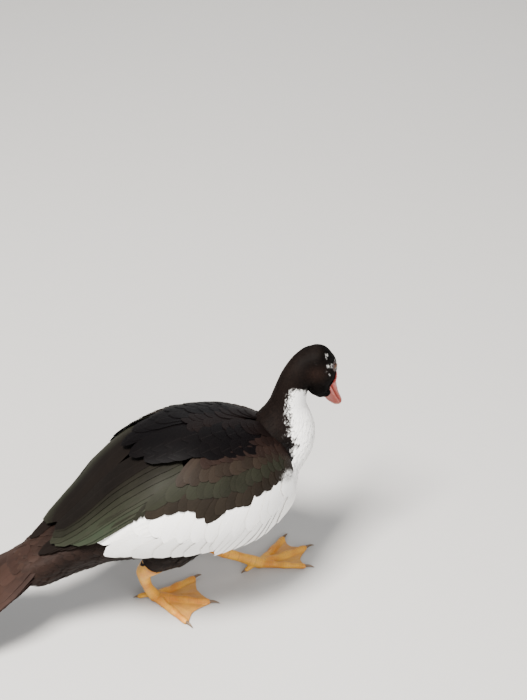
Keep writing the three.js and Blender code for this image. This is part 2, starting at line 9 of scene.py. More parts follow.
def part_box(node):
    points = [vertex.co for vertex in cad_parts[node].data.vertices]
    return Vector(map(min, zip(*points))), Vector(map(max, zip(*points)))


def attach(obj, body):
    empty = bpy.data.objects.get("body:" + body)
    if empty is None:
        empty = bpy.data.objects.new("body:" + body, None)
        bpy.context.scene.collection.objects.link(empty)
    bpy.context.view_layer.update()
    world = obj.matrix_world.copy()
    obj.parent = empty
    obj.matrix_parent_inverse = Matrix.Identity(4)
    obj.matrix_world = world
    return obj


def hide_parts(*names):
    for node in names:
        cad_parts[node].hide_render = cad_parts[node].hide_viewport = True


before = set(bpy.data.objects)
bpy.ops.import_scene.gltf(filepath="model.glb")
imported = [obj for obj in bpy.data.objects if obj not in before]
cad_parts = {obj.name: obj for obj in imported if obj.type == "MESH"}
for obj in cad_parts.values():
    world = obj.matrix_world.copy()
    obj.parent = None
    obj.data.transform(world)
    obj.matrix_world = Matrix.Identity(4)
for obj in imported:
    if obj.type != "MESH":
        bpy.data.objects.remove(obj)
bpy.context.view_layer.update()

# shapes shared with the CAD part
# All shapes are worked out in millimetres in the duck's own frame, +X forward and +Y to its left.

def smoothCurve(knots, values):
    knots, values = np.asarray(knots, float), np.asarray(values, float)
    steps = np.diff(values) / np.diff(knots)
    slopes = np.empty_like(values)
    slopes[0], slopes[-1] = steps[0], steps[-1]
    before, after = steps[:-1], steps[1:]
    rising = before * after > 0
    slopes[1:-1] = np.where(rising, 2 * before * after / np.where(rising, before + after, 1), 0)

    def at(k):
        k = np.asarray(k, float)
        i = np.clip(np.searchsorted(knots, k) - 1, 0, len(steps) - 1)
        span = knots[i + 1] - knots[i]
        s = (k - knots[i]) / span
        rest = 1 - s
        return (values[i] * rest * rest * (1 + 2 * s) + values[i + 1] * s * s * (3 - 2 * s)
                + span * s * rest * (slopes[i] * rest - slopes[i + 1] * s))
    return at


def curvesOf(rows, columns=5):
    rows = np.array(rows, float)
    return [smoothCurve(np.arange(len(rows)), rows[:, k]) for k in range(columns)]


def smooth(low, high, value):
    s = np.clip((np.asarray(value, float) - low) / (high - low), 0, 1)
    return s * s * (3 - 2 * s)


def unit(v):
    return v / np.maximum(np.linalg.norm(v, axis=-1, keepdims=True), 1e-9)


# A closed form of rings along X, each with its x, top, middle, bottom and half width.
class RingForm:
    def __init__(self, stations, roundness=0.92):
        self.x, self.top, self.middle, self.bottom, self.half = curvesOf(stations)
        self.last, self.roundness = len(stations) - 1, roundness
        self.rising = stations[-1][0] > stations[0][0]
        self.places = np.linspace(0.02, self.last - 0.02, 900)
        self.stationX = self.x(self.places)

    def point(self, t, angle):
        a = np.radians(angle)
        across, rise = (np.sign(v) * np.abs(v) ** self.roundness for v in (np.sin(a), np.cos(a)))
        tall = np.where(rise > 0, self.top(t) - self.middle(t), self.middle(t) - self.bottom(t))
        return np.stack(np.broadcast_arrays(self.x(t), self.half(t) * across,
                                            self.middle(t) + tall * rise), -1)

    def station(self, x):
        order = 1 if self.rising else -1
        return np.interp(x, self.stationX[::order], self.places[::order])

    def normal(self, t, angle):
        along = self.point(t + 0.03, angle) - self.point(t - 0.03, angle)
        around = self.point(t, angle + 1.5) - self.point(t, angle - 1.5)
        n = unit(np.cross(along, around))
        return n if self.rising else -n

    def on(self, x, angle, lift):
        t = self.station(x)
        n = self.normal(t, angle)
        return self.point(t, angle) + n * np.asarray(lift)[..., None], n

    def angleOf(self, p):
        t = self.station(p[..., 0])
        tall = np.where(p[..., 2] > self.middle(t), self.top(t) - self.middle(t),
                        self.middle(t) - self.bottom(t))
        return np.degrees(np.arctan2(np.abs(p[..., 1]) / np.maximum(self.half(t), 1),
                                     (p[..., 2] - self.middle(t)) / np.maximum(tall, 1)))


torso = RingForm([
    [133, 146, 146, 146, 0], [130, 167, 146, 127, 22], [120, 186, 147, 112, 42],
    [98, 205, 148, 96, 61], [60, 215, 149, 83, 77], [15, 218, 148, 81, 81],
    [-30, 207, 144, 84, 74], [-70, 182, 136, 87, 58], [-105, 148, 121, 85, 42],
    [-135, 124, 107, 82, 33], [-160, 108, 96, 78, 27], [-178, 97, 88, 75, 19],
    [-184, 86, 85, 84, 0]])
cloak = RingForm([
    [135, 147, 147, 147, 0], [132, 169, 147, 126, 25], [121, 189, 147, 111, 48],
    [98, 208, 148, 95, 66], [60, 221, 149, 82, 84], [15, 226, 148, 79, 89],
    [-30, 216.5, 145, 81, 84], [-70, 193, 138, 84, 69.5], [-105, 160, 126, 82, 51],
    [-140, 131, 111, 79, 36], [-175, 108, 96, 75, 26], [-205, 97, 86, 72, 17],
    [-212, 85, 84, 83, 0]])
neckLine = [  # centre, half width and half depth of each ring
    [97, 0, 150, 37, 35], [110, 0, 174, 37, 36], [117, 0, 196, 31, 31], [122, 0, 213, 24, 25],
    [126, 0, 231, 18.5, 19.5], [132, -0.5, 250, 17, 18], [142, -1, 266, 17, 18],
    [155, 0, 277, 15, 15], [166, 2, 280, 8, 8]]
headForm = RingForm([
    [-33.5, -1, -1, -1, 0], [-31.5, 7, -1, -9, 8], [-25, 12.2, -3, -17, 13],
    [-13, 15.6, -5.5, -24, 15.8], [2, 16, -6.5, -27.5, 16.4], [12, 12.6, -7.5, -26.5, 14.6],
    [20, 6.8, -7.5, -21, 11.8], [27, 2, -8, -16, 9.8], [28, -8, -8, -8, 0]], 0.95)
headPlace = (Matrix.Translation((166, 4, 264)) @ Matrix.Rotation(math.radians(38), 4, "Z")
             @ Matrix.Rotation(math.radians(53), 4, "Y"))
legLines = {
    "right": [[-4, -40, 118, 24, 34], [-18, -37, 96, 20, 26], [-36, -28, 74, 12, 14.5],
              [-45, -22, 60, 8.2, 9], [-44, -17, 47, 6.2, 6.6], [-39, -10, 27, 5, 5.4],
              [-33, -5, 12, 6, 6.4], [-30, -3.5, 5, 6.8, 6.4]],
    "left": [[22, 40, 116, 24, 34], [24, 37, 94, 19, 26], [31, 28, 66, 12, 15],
             [42, 19, 42, 8.2, 9], [53, 15, 31, 6.2, 6.6], [74, 11, 19, 5, 5.4],
             [90, 8.5, 10, 6, 6.4], [97, 8, 5.5, 6.8, 6.2]]}

placeRows = np.array(headPlace)


def fromHead(p):
    return np.asarray(p, float) @ placeRows[:3, :3].T + placeRows[:3, 3]


def toHead(p):
    return (np.asarray(p, float) - placeRows[:3, 3]) @ placeRows[:3, :3]


# The row frame differs from the duck's own frame by a shift along the floor, found from the eyes.
eyeBoxes = [np.array(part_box(name)) for name in ("eye_left", "eye_right")]
shift = np.mean([b.mean(0) for b in eyeBoxes], axis=0) - fromHead([0, 0, 1.5]) * 0.001
shift[2] = 0
print("shift", shift.round(5))


# camera
cameraFacts = {"place": (-368.7, -1285.8, 1204.4), "forward": (0.2849, 0.7837, -0.5520),
               "lens": 82.29, "sensor": 36}

cameraData = bpy.data.cameras.new("camera")
cameraData.lens, cameraData.sensor_width = cameraFacts["lens"], cameraFacts["sensor"]
cameraData.clip_start, cameraData.clip_end = 0.05, 50
camera = bpy.data.objects.new("camera", cameraData)
bpy.context.scene.collection.objects.link(camera)
camera.location = Vector(np.array(cameraFacts["place"]) * 0.001 + shift)
camera.rotation_mode = "QUATERNION"
camera.rotation_quaternion = Vector(cameraFacts["forward"]).to_track_quat("-Z", "Y")
bpy.context.scene.camera = camera


# materials
# A socket that takes part in Python expressions, each of which adds its Math nodes.
class Wire:
    def __init__(self, tree, socket):
        self.tree, self.socket = tree, socket

    def maths(self, operation, *others):
        node = self.tree.nodes.new("ShaderNodeMath")
        node.operation = operation
        for k, value in enumerate((self, *others)):
            if isinstance(value, Wire):
                self.tree.links.new(value.socket, node.inputs[k])
            else:
                node.inputs[k].default_value = value
        return Wire(self.tree, node.outputs[0])

    def __add__(self, other): return self.maths("ADD", other)
    def __radd__(self, other): return self.maths("ADD", other)
    def __mul__(self, other): return self.maths("MULTIPLY", other)
    def __rmul__(self, other): return self.maths("MULTIPLY", other)
    def __sub__(self, other): return self.maths("SUBTRACT", other)
    def __rsub__(self, other): return (self * -1).maths("ADD", other)

    def smooth(self, low, high):
        s = ((self - low) * (1 / (high - low))).maths("MINIMUM", 1).maths("MAXIMUM", 0)
        return s * s * (3 - 2 * s)


class Finish:
    def __init__(self, name):
        self.material = bpy.data.materials.new(name)
        self.material.use_nodes = True
        self.tree = self.material.node_tree
        self.shader = self.tree.nodes["Principled BSDF"]

    def plug(self, socket, value):
        if isinstance(value, Wire):
            self.tree.links.new(value.socket, socket)
        elif isinstance(value, (tuple, list)) and socket.type == "RGBA" and len(value) == 3:
            socket.default_value = (*value, 1)
        else:
            socket.default_value = value

    def node(self, kind, settings=None, values=None, out=0):
        made = self.tree.nodes.new("ShaderNode" + kind)
        for key, value in (settings or {}).items():
            setattr(made, key, value)
        for key, value in (values or {}).items():
            self.plug(made.inputs[key], value)
        return Wire(self.tree, made.outputs[out])

    def mix(self, share, first, second):
        return self.node("Mix", {"data_type": "RGBA"}, {0: share, 6: first, 7: second}, out=2)

    def parts(self, name):
        source = self.node("Attribute", {"attribute_name": name}, out="Vector")
        split = self.node("SeparateXYZ", None, {0: source})
        return [Wire(self.tree, socket) for socket in split.socket.node.outputs]

    def cells(self, scale, feature="F1"):
        return self.node("TexVoronoi", {"feature": feature},
                         {"Vector": self.node("TexCoord", out="Object"), "Scale": scale})

    def noise(self, scale, detail=3):
        return self.node("TexNoise", None, {"Vector": self.node("TexCoord", out="Object"),
                                            "Scale": scale, "Detail": detail, "Roughness": 0.55})

    def streaks(self, x, y):
        return self.node("TexNoise", {"noise_dimensions": "2D"}, {
            "Vector": self.node("CombineXYZ", None, {0: x, 1: y}), "Scale": 1.0})

    def bump(self, height, strength, distance):
        return self.node("Bump", None, {"Height": height, "Strength": strength,
                                        "Distance": distance})

    def surface(self, values):
        for key, value in values.items():
            self.plug(self.shader.inputs[key], value)
        return self.material


# Feathers carry two attributes: "vane" is how far along, how far across and a tone of its own, and
# "mark" is how white, how green and how brown the feather is.
featherLook = {
    "black": (0.0007, 0.0006, 0.0008), "brown": (0.042, 0.0225, 0.017),
    "green": (0.017, 0.0225, 0.0135), "teal": (0.003, 0.026, 0.024),
    "fringe": (0.042, 0.031, 0.026), "white": (0.86, 0.845, 0.815),
    "whiteShade": (0.62, 0.59, 0.55), "darkShaft": (0.007, 0.0055, 0.005),
    "paleShaft": (0.74, 0.68, 0.6)}
featherKinds = {  # barbs: streaks along the vane and across it
    "wing": {"barbs": (44, 5), "rough": 0.52, "fleck": 0.45, "relief": 0.35, "ior": 1.13},
    "body": {"barbs": (26, 6), "rough": 0.55, "fleck": 0.4, "relief": 0.35, "ior": 1.13},
    "neck": {"barbs": (10, 5), "rough": 0.6, "fleck": 0.9, "relief": 0.25, "ior": 1.09}}


def featherMaterial(kind):
    look, facts = featherLook, featherKinds[kind]
    m = Finish(kind + " feather")
    along, across, tone = m.parts("vane")
    white, green, brown = m.parts("mark")
    broad, speck = m.noise(26, 4), m.noise(460)
    side = across.maths("ABSOLUTE")
    lengthwise, crosswise = facts["barbs"]
    streak = m.streaks(across * crosswise + tone * 37, (along - side * 0.22) * lengthwise)
    shaft = 1 - side.smooth(0.015, 0.06)
    edge = side.smooth(0.7, 1.0).maths("MAXIMUM", along.smooth(0.84, 1.0))
    # black, with brown, green and teal over it, then paler streaks and edges; the green is partly
    # the feathers' own gloss and partly painted sheen, stronger towards each tip
    dark = m.mix(brown * (1 + 1.1 * (broad - 0.5) + (tone - 0.5) * 0.5), look["black"],
                 look["brown"])
    # painted sheen: the green share grows along each feather towards its tip
    greenAndSheen = green * (0.35 + 0.3 * broad.smooth(0.3, 0.7) + 0.3 * along.smooth(0.2, 0.9)
                    + 0.4 * tone)
    dark = m.mix(greenAndSheen.maths("MINIMUM", 1), dark, look["green"])
    dark = m.mix((green - 1).maths("MAXIMUM", 0), dark, look["teal"])
    dark = m.mix(streak.smooth(0.4, 0.85) * (0.004 + 0.2 * brown + 0.14 * green)
                 + edge * (0.006 + 0.13 * brown + 0.03 * green), dark, look["fringe"])
    light = m.mix(streak.smooth(0.35, 0.85) * 0.2 + (1 - tone) * 0.14, look["white"],
                  look["whiteShade"])
    # ragged only where white meets black
    ragged = (white * (1 - white) * 4).maths("MINIMUM", 1) * facts["fleck"]
    spot = (white + (speck - 0.5) * ragged * 1.5 + (tone - 0.5) * ragged * 0.6).smooth(0.16, 0.84)
    colour = m.mix(spot, dark, light)
    colour = m.mix(shaft * 0.3, colour, m.mix(spot, look["darkShaft"], look["paleShaft"]))
    return m.surface({"Base Color": colour, "IOR": facts["ior"],
                      "Roughness": facts["rough"] + (streak - 0.5) * 0.16 + spot * 0.3,
                      "Normal": m.bump(streak + shaft * 0.7, facts["relief"], 0.0002)})


wingMaterial, bodyMaterial, neckMaterial = (featherMaterial(kind) for kind in featherKinds)


# mesh making
def newObject(name, mesh, material, replaced=()):
    made = bpy.data.objects.new(name, mesh)
    bpy.context.scene.collection.objects.link(made)
    mesh.materials.append(material)
    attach(made, "root")
    if replaced:
        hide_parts(*replaced)


def meshOf(name, points, quads, sharp=None):
    mesh = bpy.data.meshes.new(name)
    points = np.asarray(points, float).reshape(-1, 3) * 0.001 + shift
    quads = np.asarray(quads, np.int32).reshape(-1, 4)
    mesh.vertices.add(len(points))
    mesh.vertices.foreach_set("co", points.ravel())
    mesh.loops.add(quads.size)
    mesh.loops.foreach_set("vertex_index", quads.ravel())
    mesh.polygons.add(len(quads))
    mesh.polygons.foreach_set("loop_start", np.arange(0, quads.size, 4, dtype=np.int32))
    mesh.polygons.foreach_set("use_smooth", np.ones(len(quads), bool))
    mesh.update(calc_edges=True)
    if sharp:
        mesh.set_sharp_from_angle(angle=math.radians(sharp))
    return mesh


def pointsOf(mesh):
    points = np.empty(len(mesh.vertices) * 3)
    mesh.vertices.foreach_get("co", points)
    return (points.reshape(-1, 3) - shift) * 1000


def setAttribute(mesh, name, values):
    made = mesh.attributes.new(name, "FLOAT_VECTOR", "POINT")
    made.data.foreach_set("vector", np.asarray(values, np.float32).ravel())


def setMap(mesh, uv):
    layer = mesh.uv_layers.new(name="OFBake")
    corners = np.empty(len(mesh.loops), np.int32)
    mesh.loops.foreach_get("vertex_index", corners)
    layer.data.foreach_set("uv", np.asarray(uv, np.float32)[corners].ravel())


def sheetQuads(rows, columns):
    i, j = np.meshgrid(np.arange(rows - 1), np.arange(columns - 1), indexing="ij")
    a = (i * columns + j).ravel()
    top = np.stack([a, a + columns, a + columns + 1, a + 1], 1)
    under = top[:, ::-1] + rows * columns
    n = rows * columns
    r = np.arange(rows - 1) * columns
    c = np.arange(columns - 1)
    left = np.stack([r, r + n, r + columns + n, r + columns], 1)
    r = r + columns - 1
    right = np.stack([r, r + columns, r + columns + n, r + n], 1)
    root = np.stack([c, c + 1, c + 1 + n, c + n], 1)
    c = c + (rows - 1) * columns
    tip = np.stack([c, c + n, c + 1 + n, c + 1], 1)
    return np.concatenate([top, under, left, right, root, tip])


# Thin closed vanes along their spines. spine and normal are (feathers, rows, 3), half is
# (feathers, rows, 2) for both sides of the shaft, and the other sizes are one for each feather.
def vanes(spine, normal, half, columns, thick, camber=0.12, roll=0.0):
    count, rows = spine.shape[:2]
    along = unit(np.gradient(spine, axis=1))
    across = unit(np.cross(normal, along))
    up = np.cross(along, across)
    c = np.linspace(-1, 1, columns)
    wide = np.where(c[None, None, :] < 0, half[:, :, :1] * c, half[:, :, 1:] * c)
    camber, roll, thick = (np.broadcast_to(np.asarray(v, float), (count,))[:, None, None]
                           for v in (camber, roll, thick))
    lift = -camber * np.abs(wide) * np.abs(c) + np.tan(np.radians(roll)) * wide
    top = (spine[:, :, None] + across[:, :, None] * wide[..., None]
           + up[:, :, None] * lift[..., None])
    thinner = np.linspace(1, 0.55, rows)[None, :, None]  # towards the tip
    body = thick * (1 - 0.65 * np.abs(c) ** 2)[None, None] * thinner
    under = top - up[:, :, None] * body[..., None]
    points = np.stack([top, under], 1)
    quads = sheetQuads(rows, columns)
    quads = quads[None] + (np.arange(count) * 2 * rows * columns)[:, None, None]
    t = np.broadcast_to(np.linspace(0, 1, rows)[None, None, :, None], (count, 2, rows, columns))
    s = np.broadcast_to(c[None, None, None, :], t.shape)
    return points.reshape(-1, 3), quads.reshape(-1, 4), np.stack([t, s], -1).reshape(-1, 2)


featherOutline = {
    "flight": smoothCurve([0, 0.12, 0.45, 0.8, 0.94, 1], [0.3, 0.62, 0.95, 1, 0.74, 0.16]),
    "covert": smoothCurve([0, 0.2, 0.55, 0.8, 0.94, 1], [0.4, 0.78, 1, 0.93, 0.62, 0.14]),
    "down": smoothCurve([0, 0.3, 0.65, 0.9, 1], [0.5, 0.95, 1, 0.66, 0.22])}


def halves(outline, count, rows, width, ragged, draw):
    shape = featherOutline[outline](np.linspace(0, 1, rows))[None, :, None]
    half = shape * np.broadcast_to(width, (count,))[:, None, None] / 2 * np.ones((1, 1, 2))
    notch = draw.random((count, rows, 2)) ** 3 * ragged * np.linspace(0.2, 1, rows)[None, :, None]
    return half * (1 - notch)


# Each feather has a cell of its own on the map, its face and back side by side.
def cellMap(ts, count, cell, cells, margin=0.04):
    each = len(ts) // count
    back = np.tile(np.repeat([0, 1], each // 2), count)
    number = cell + np.repeat(np.arange(count), each)
    u = (number % cells + margin + (0.5 - 1.5 * margin) * (ts[:, 1] + 1) / 2 + 0.5 * back) / cells
    v = (number // cells + margin + (1 - 2 * margin) * ts[:, 0]) / cells
    return np.column_stack([u, v])


def featherPiece(name, parts, material, replaced=(), mirror=False):
    points = np.concatenate([p["points"] for p in parts])
    starts = np.cumsum([0] + [len(p["points"]) for p in parts[:-1]])
    quads = np.concatenate([p["quads"] + s for p, s in zip(parts, starts)])
    if mirror:
        points = points * [1, -1, 1]
        quads = quads[:, ::-1]
    mesh = meshOf(name, points, quads, sharp=60)
    setAttribute(mesh, "vane", np.concatenate([p["vane"] for p in parts]))
    setAttribute(mesh, "mark", np.concatenate([p["mark"] for p in parts]))
    setMap(mesh, np.concatenate([p["uv"] for p in parts]))
    newObject(name, mesh, material, replaced)
    print(name, len(quads) * 2, "triangles")


# folded wings
# Roots and tips are [x, angle from the top of the back, height off the cloak] along a tier.
wingTiers = [
    {"name": "primaries", "count": 5, "outline": "flight", "width": 17, "roll": -12,
     "roots": [[-58, 66, -9], [-58, 44, -9]], "tips": [[-138, 50, -6], [-160, 30, -5]],
     "mark": [0, 0.04, 0.1], "ragged": 0.05},
    {"name": "secondaries", "count": 12, "outline": "flight", "width": 25, "roll": 5,
     "roots": [[70, 78, -6], [30, 66, -7.5], [-44, 54, -8]],
     "tips": [[14, 112, -1.6], [-4, 116, -2], [-28, 114, -2.4], [-52, 111, -2.8], [-76, 105, -3.2],
              [-95, 98, -3.4], [-79, 88, -3.5], [-99, 73, -3.4], [-101, 69, -3.4]],
     "mark": [1, 0, 0], "ragged": 0.04},
    {"name": "flank", "count": 9, "outline": "covert", "width": 30, "roll": 4,
     "roots": [[122, 84, -4], [104, 70, -5], [66, 66, -4]],
     "tips": [[92, 118, 0.4], [64, 127, 0.2], [40, 131, 0], [19, 128, 0], [16, 108, -0.4]],
     "mark": [1, 0, 0], "ragged": 0.05},
    {"name": "white coverts", "count": 12, "outline": "covert", "width": 25, "roll": 3.5,
     "roots": [[118, 62, -4], [60, 50, -5], [-34, 50, -6]],
     "tips": [[98, 84, 0.4], [62, 96, 0.2], [30, 98, -0.4], [0, 96, -1], [-34, 90, -1.8],
              [-62, 78, -2.4]],
     "mark": [1, 0, 0], "ragged": 0.05},
    {"name": "greater coverts", "count": 15, "outline": "covert", "width": 18, "roll": 3.5,
     "roots": [[122, 49, -3.4], [76, 45, -4], [10, 41, -5]],
     "tips": [[103, 58, 0], [84, 62, -0.2], [66, 66, -0.3], [46, 74, -0.4], [28, 74, -0.4],
              [8, 78, -0.5], [-8, 70, -0.6], [-22, 63, -0.8], [-52, 62, -1]],
     "mark": [0, 0.2, 0.24], "ragged": 0.08},
    {"name": "glossy coverts", "count": 15, "outline": "covert", "width": 18, "roll": 3.2,
     "roots": [[120, 40, -2.8], [78, 35, -3.4], [16, 33, -4.2]],
     "tips": [[100, 49, 0.3], [80, 53, 0.2], [58, 57, 0.2], [36, 61, 0.1], [14, 62, 0],
              [-8, 58, -0.1], [-50, 54, -0.3]],
     "mark": [0, 0.42, 0.16], "ragged": 0.08},
    {"name": "median coverts", "count": 15, "outline": "covert", "width": 16, "roll": 3,
     "roots": [[122, 31, -2.2], [80, 25, -2.6], [22, 25, -3.4]],
     "tips": [[101, 42, 0.6], [60, 46, 0.6], [20, 48, 0.6], [-18, 46, 0.4]],
     "mark": [0, 0.16, 0.26], "ragged": 0.09},
    {"name": "lower lesser coverts", "count": 15, "outline": "covert", "width": 15, "roll": 2.6,
     "roots": [[123, 25, -1.8], [84, 18, -2], [34, 19, -2.6]],
     "tips": [[104, 36, 0.9], [60, 37, 1], [12, 38, 1]],
     "mark": [0, 0.03, 0.24], "ragged": 0.09},
    {"name": "upper lesser coverts", "count": 13, "outline": "covert", "width": 15, "roll": 2.6,
     "roots": [[122, 22, -1.4], [74, 12, -1.6], [34, 12, -2]],
     "tips": [[107, 30, 1.1], [66, 29, 1.3], [26, 30, 1.3]],
     "mark": [0, 0, 0.14], "ragged": 0.08},
    # The tertials fade from green on the lower ones to nearly black on the upper ones: partly their
    # own gloss, partly painted sheen below and painted shade above.
    {"name": "tertials", "count": 8, "outline": "flight", "width": 27, "roll": -6,
     "roots": [[-22, 47, -6.4], [-6, 34, -6.2], [-4, 14, -5.8]],
     "tips": [[-118, 57, -2], [-132, 47, -1.8], [-142, 33, -1.6], [-139, 19, -1.4],
              [-134, 7, -1.3]],
     "mark": [0, 1, 0.25], "markTo": [0, 0.04, 0.05], "ragged": 0.04},
    {"name": "outer scapulars", "count": 10, "outline": "covert", "width": 26, "roll": 2.4,
     "roots": [[98, 19, -1.6], [40, 13, -2]],
     "tips": [[58, 31, 1.6], [26, 28, 2], [-10, 23, 2.3], [-38, 16, 2.5]],
     "mark": [0, 0, 0.01], "ragged": 0.06},
    {"name": "inner scapulars", "count": 10, "outline": "covert", "width": 26, "roll": 2.2,
     "roots": [[96, 8, -1], [24, 6, -1.4]],
     "tips": [[62, 17, 2], [20, 15, 2.6], [-28, 12, 3], [-52, 6, 3]],
     "mark": [0, 0, 0.01], "ragged": 0.06},
    {"name": "mantle", "count": 9, "outline": "covert", "width": 22, "roll": 2,
     "roots": [[112, 9, -1.2], [54, 2, -1.2]],
     "tips": [[84, 11, 2], [10, 4.5, 2.8]],
     "mark": [0, 0, 0.05], "ragged": 0.07}]


whiteLine = ([-104, -97, -75, -53, -19, 10], [66, 68, 65, 61, 58, 40])  # x, angle


def alongCurve(rows, share):
    rows = np.array(rows, float)
    knots = np.linspace(0, 1, len(rows))
    return np.stack([smoothCurve(knots, rows[:, k])(share) for k in range(3)], -1)


def tierVanes(tier, draw, cell, rows=18, columns=9):
    count, each = tier["count"], 2 * rows * columns
    share = (np.arange(count) + 0.5 * draw.uniform(-0.25, 0.25, count)) / (count - 1)
    share = np.clip(share, 0, 1)
    roots, tips = alongCurve(tier["roots"], share), alongCurve(tier["tips"], share)
    tips[:, :2] += draw.uniform(-2, 2, (count, 2))
    t = np.linspace(0, 1, rows)[None, :, None]
    way = roots[:, None] + (tips - roots)[:, None] * t
    height = roots[:, 2, None] + (tips[:, 2] - roots[:, 2])[:, None] * t[..., 0] ** 0.7
    spine, normal = cloak.on(way[..., 0], way[..., 1], height)
    width = tier["width"] * draw.uniform(0.9, 1.12, count)
    half = halves(tier["outline"], count, rows, width, tier["ragged"], draw)
    if tier["outline"] == "flight":
        half = half * [0.82, 1.18]  # the outer vane is the narrower one
    points, quads, ts = vanes(spine, normal, half, columns, 0.38, camber=0.06, roll=tier["roll"])
    tone = np.repeat(draw.random(count), each)
    change = np.repeat(share, each)[:, None]
    mark = (np.array(tier["mark"]) * (1 - change)
            + np.array(tier.get("markTo", tier["mark"])) * change)
    angle = cloak.angleOf(points)
    if tier["mark"][0]:  # white below a line that falls towards the breast
        bound = np.interp(points[:, 0], *whiteLine)
        mark[:, 0] = smooth(-1.5, 1.5, angle - bound)
        mark[:, 1:] = (1 - mark[:, :1]) * [0.4, 0.12]
    bend = np.exp(-((points[:, 0] - 106) / 12) ** 2 - ((angle - 63) / 8) ** 2)
    mark[:, 0] += (0.56 - mark[:, 0]) * np.minimum(bend * 1.2, 1)  # mottled at the wing's bend
    return {"points": points, "quads": quads, "vane": np.column_stack([ts, tone]), "mark": mark,
            "uv": cellMap(ts, count, cell, 12)}


def buildWing(side, mirror, seed):
    draw = np.random.default_rng(seed)
    parts, cell = [], 0
    for tier in wingTiers:
        parts.append(tierVanes(tier, draw, cell))
        cell += tier["count"]
    featherPiece(side + "_wing", parts, wingMaterial, ("wing_" + side,), mirror)


buildWing("left", False, 41)
buildWing("right", True, 42)
print("wings made")


# tail
tailFan = {"root": (-160, 0, 99), "count": 18, "fan": 13, "droop": 30, "length": 118,
           "spread": 13, "width": 22, "sag": 4, "arch": 0, "brown": 0.44, "teal": 1}
tailCoverts = [  # over the fan, then under it
    {"count": 10, "fan": 16, "lift": 4, "droop": 31, "length": 80, "spread": 16, "width": 19},
    {"count": 11, "fan": 16, "lift": 6, "droop": 32, "length": 64, "spread": 17, "width": 19},
    {"count": 11, "fan": 15, "lift": 8, "droop": 33, "length": 48, "spread": 18, "width": 18},
    {"count": 10, "fan": 14, "lift": 10, "droop": 34, "length": 32, "spread": 18, "width": 18},
    {"count": 11, "fan": 14, "lift": -8, "droop": 29, "length": 92, "spread": 15, "width": 21},
    {"count": 11, "fan": 14, "lift": -12, "droop": 29, "length": 80, "spread": 17, "width": 21},
    {"count": 11, "fan": 14, "lift": -16, "droop": 28.5, "length": 68, "spread": 18, "width": 22},
    {"count": 11, "fan": 14, "lift": -20, "droop": 28, "length": 56, "spread": 18, "width": 22},
    {"count": 11, "fan": 14, "lift": -24, "droop": 27, "length": 44, "spread": 18, "width": 22}]


def tailRow(row, outs, lifts, lengths, draw, cell, rows=20, columns=9):
    count, each = len(outs), 2 * rows * columns
    t = np.linspace(0, 1, rows)[None, :]
    turn = np.radians(row["fan"] * outs)[:, None]
    dip = math.radians(row["droop"])
    reach = lengths[:, None] * t
    x, y, z = tailFan["root"]
    spine = np.stack([x - reach * np.cos(turn) * math.cos(dip),
                      y + row["spread"] * outs[:, None] + reach * np.sin(turn),
                      z + (lifts - row["arch"] * outs ** 2)[:, None] - reach * math.sin(dip)
                      + row["sag"] * t * t], -1)
    flat = np.ones_like(turn)
    normal = np.stack([-math.sin(dip) * flat, np.sin(turn) * 0.9, math.cos(dip) * flat], -1)
    normal = unit(np.broadcast_to(normal, spine.shape))
    normal = normal + np.array([0, 0.02, 0]) * (outs * row["arch"])[:, None, None]
    half = halves("flight", count, rows, np.full(count, float(row["width"])), 0.05, draw)
    points, quads, ts = vanes(spine, unit(normal), half, columns, 0.38, camber=0.06)
    tone = np.repeat(draw.random(count), each)
    far = np.linalg.norm(points - np.array(tailFan["root"]), axis=1)
    outer = np.repeat(np.abs(outs), each)
    tip = smooth(0, 22, far - 84 + 20 * smooth(0.45, 0.9, outer)) * row["teal"]
    mark = np.stack([np.zeros(len(points)), tip * 1.8, row["brown"] * (1 - 0.7 * tip)], 1)
    return {"points": points, "quads": quads, "vane": np.column_stack([ts, tone]), "mark": mark,
            "uv": cellMap(ts, count, cell, 8)}


def buildTail():
    draw = np.random.default_rng(77)
    outs = np.linspace(-1, 1, tailFan["count"])
    lifts = 3 - 9 * np.abs(outs) - np.where(outs < 0, 0.5, 0)
    parts = [tailRow(tailFan, outs, lifts, tailFan["length"] * (1 - 0.16 * outs ** 2), draw, 0)]
    cell = tailFan["count"]
    for row in tailCoverts:
        outs = np.linspace(-1, 1, row["count"])
        over = row["lift"] > 0
        lifts = row["lift"] + (0.7 if over else -0.7) * (np.arange(row["count"]) % 2)
        look = {"brown": 0.46, "teal": 0} if over else {"brown": 0.26, "teal": 0.3}
        parts.append(tailRow({**row, **look, "sag": 0, "arch": row["lift"] * 0.72}, outs, lifts,
                             row["length"] - 8 * outs ** 2, draw, cell))
        cell += row["count"]
    featherPiece("tail_feathers", parts, bodyMaterial, ("tail",))


buildTail()
print("tail made")


# skin
skinFacts = {"voxel": 0.0015, "bodyDepth": 2.2, "neckDepth": 1.6, "headDepth": 0.9,
             "thighDepth": 1.8, "crop": 9.0, "vent": 13.0,
             "chin": [(12, -20.5, 13, 11.5, 11), (23, -20, 10, 9.2, 9.4), (33, -19, 8, 7.2, 6)]}


def tubeRings(line, steps, around, front=(0, 0, 1), inset=0, end=None):
    t = np.linspace(0, len(line) - 1 if end is None else end, steps)
    values = [curve(t) for curve in curvesOf(line)]
    centre = np.stack(values[:3], -1)
    along = unit(np.gradient(centre, axis=0))
    front = np.array(front, float)
    deep = unit(front - along * (along @ front)[:, None])
    wide = np.cross(along, deep)
    a = np.linspace(0, 2 * np.pi, around, endpoint=False)[None, :, None]
    half, depth = (np.maximum(v - inset, 0.5 if inset else 0)[:, None, None] for v in values[3:])
    return centre[:, None] + wide[:, None] * half * np.cos(a) + deep[:, None] * depth * np.sin(a)


def ringsOfForm(form, steps, around, inset):
    t = np.linspace(0.03, form.last - 0.03, steps)[:, None]
    a = np.linspace(0, 360, around, endpoint=False)[None, :]
    return form.point(t, a) - form.normal(t, a) * inset


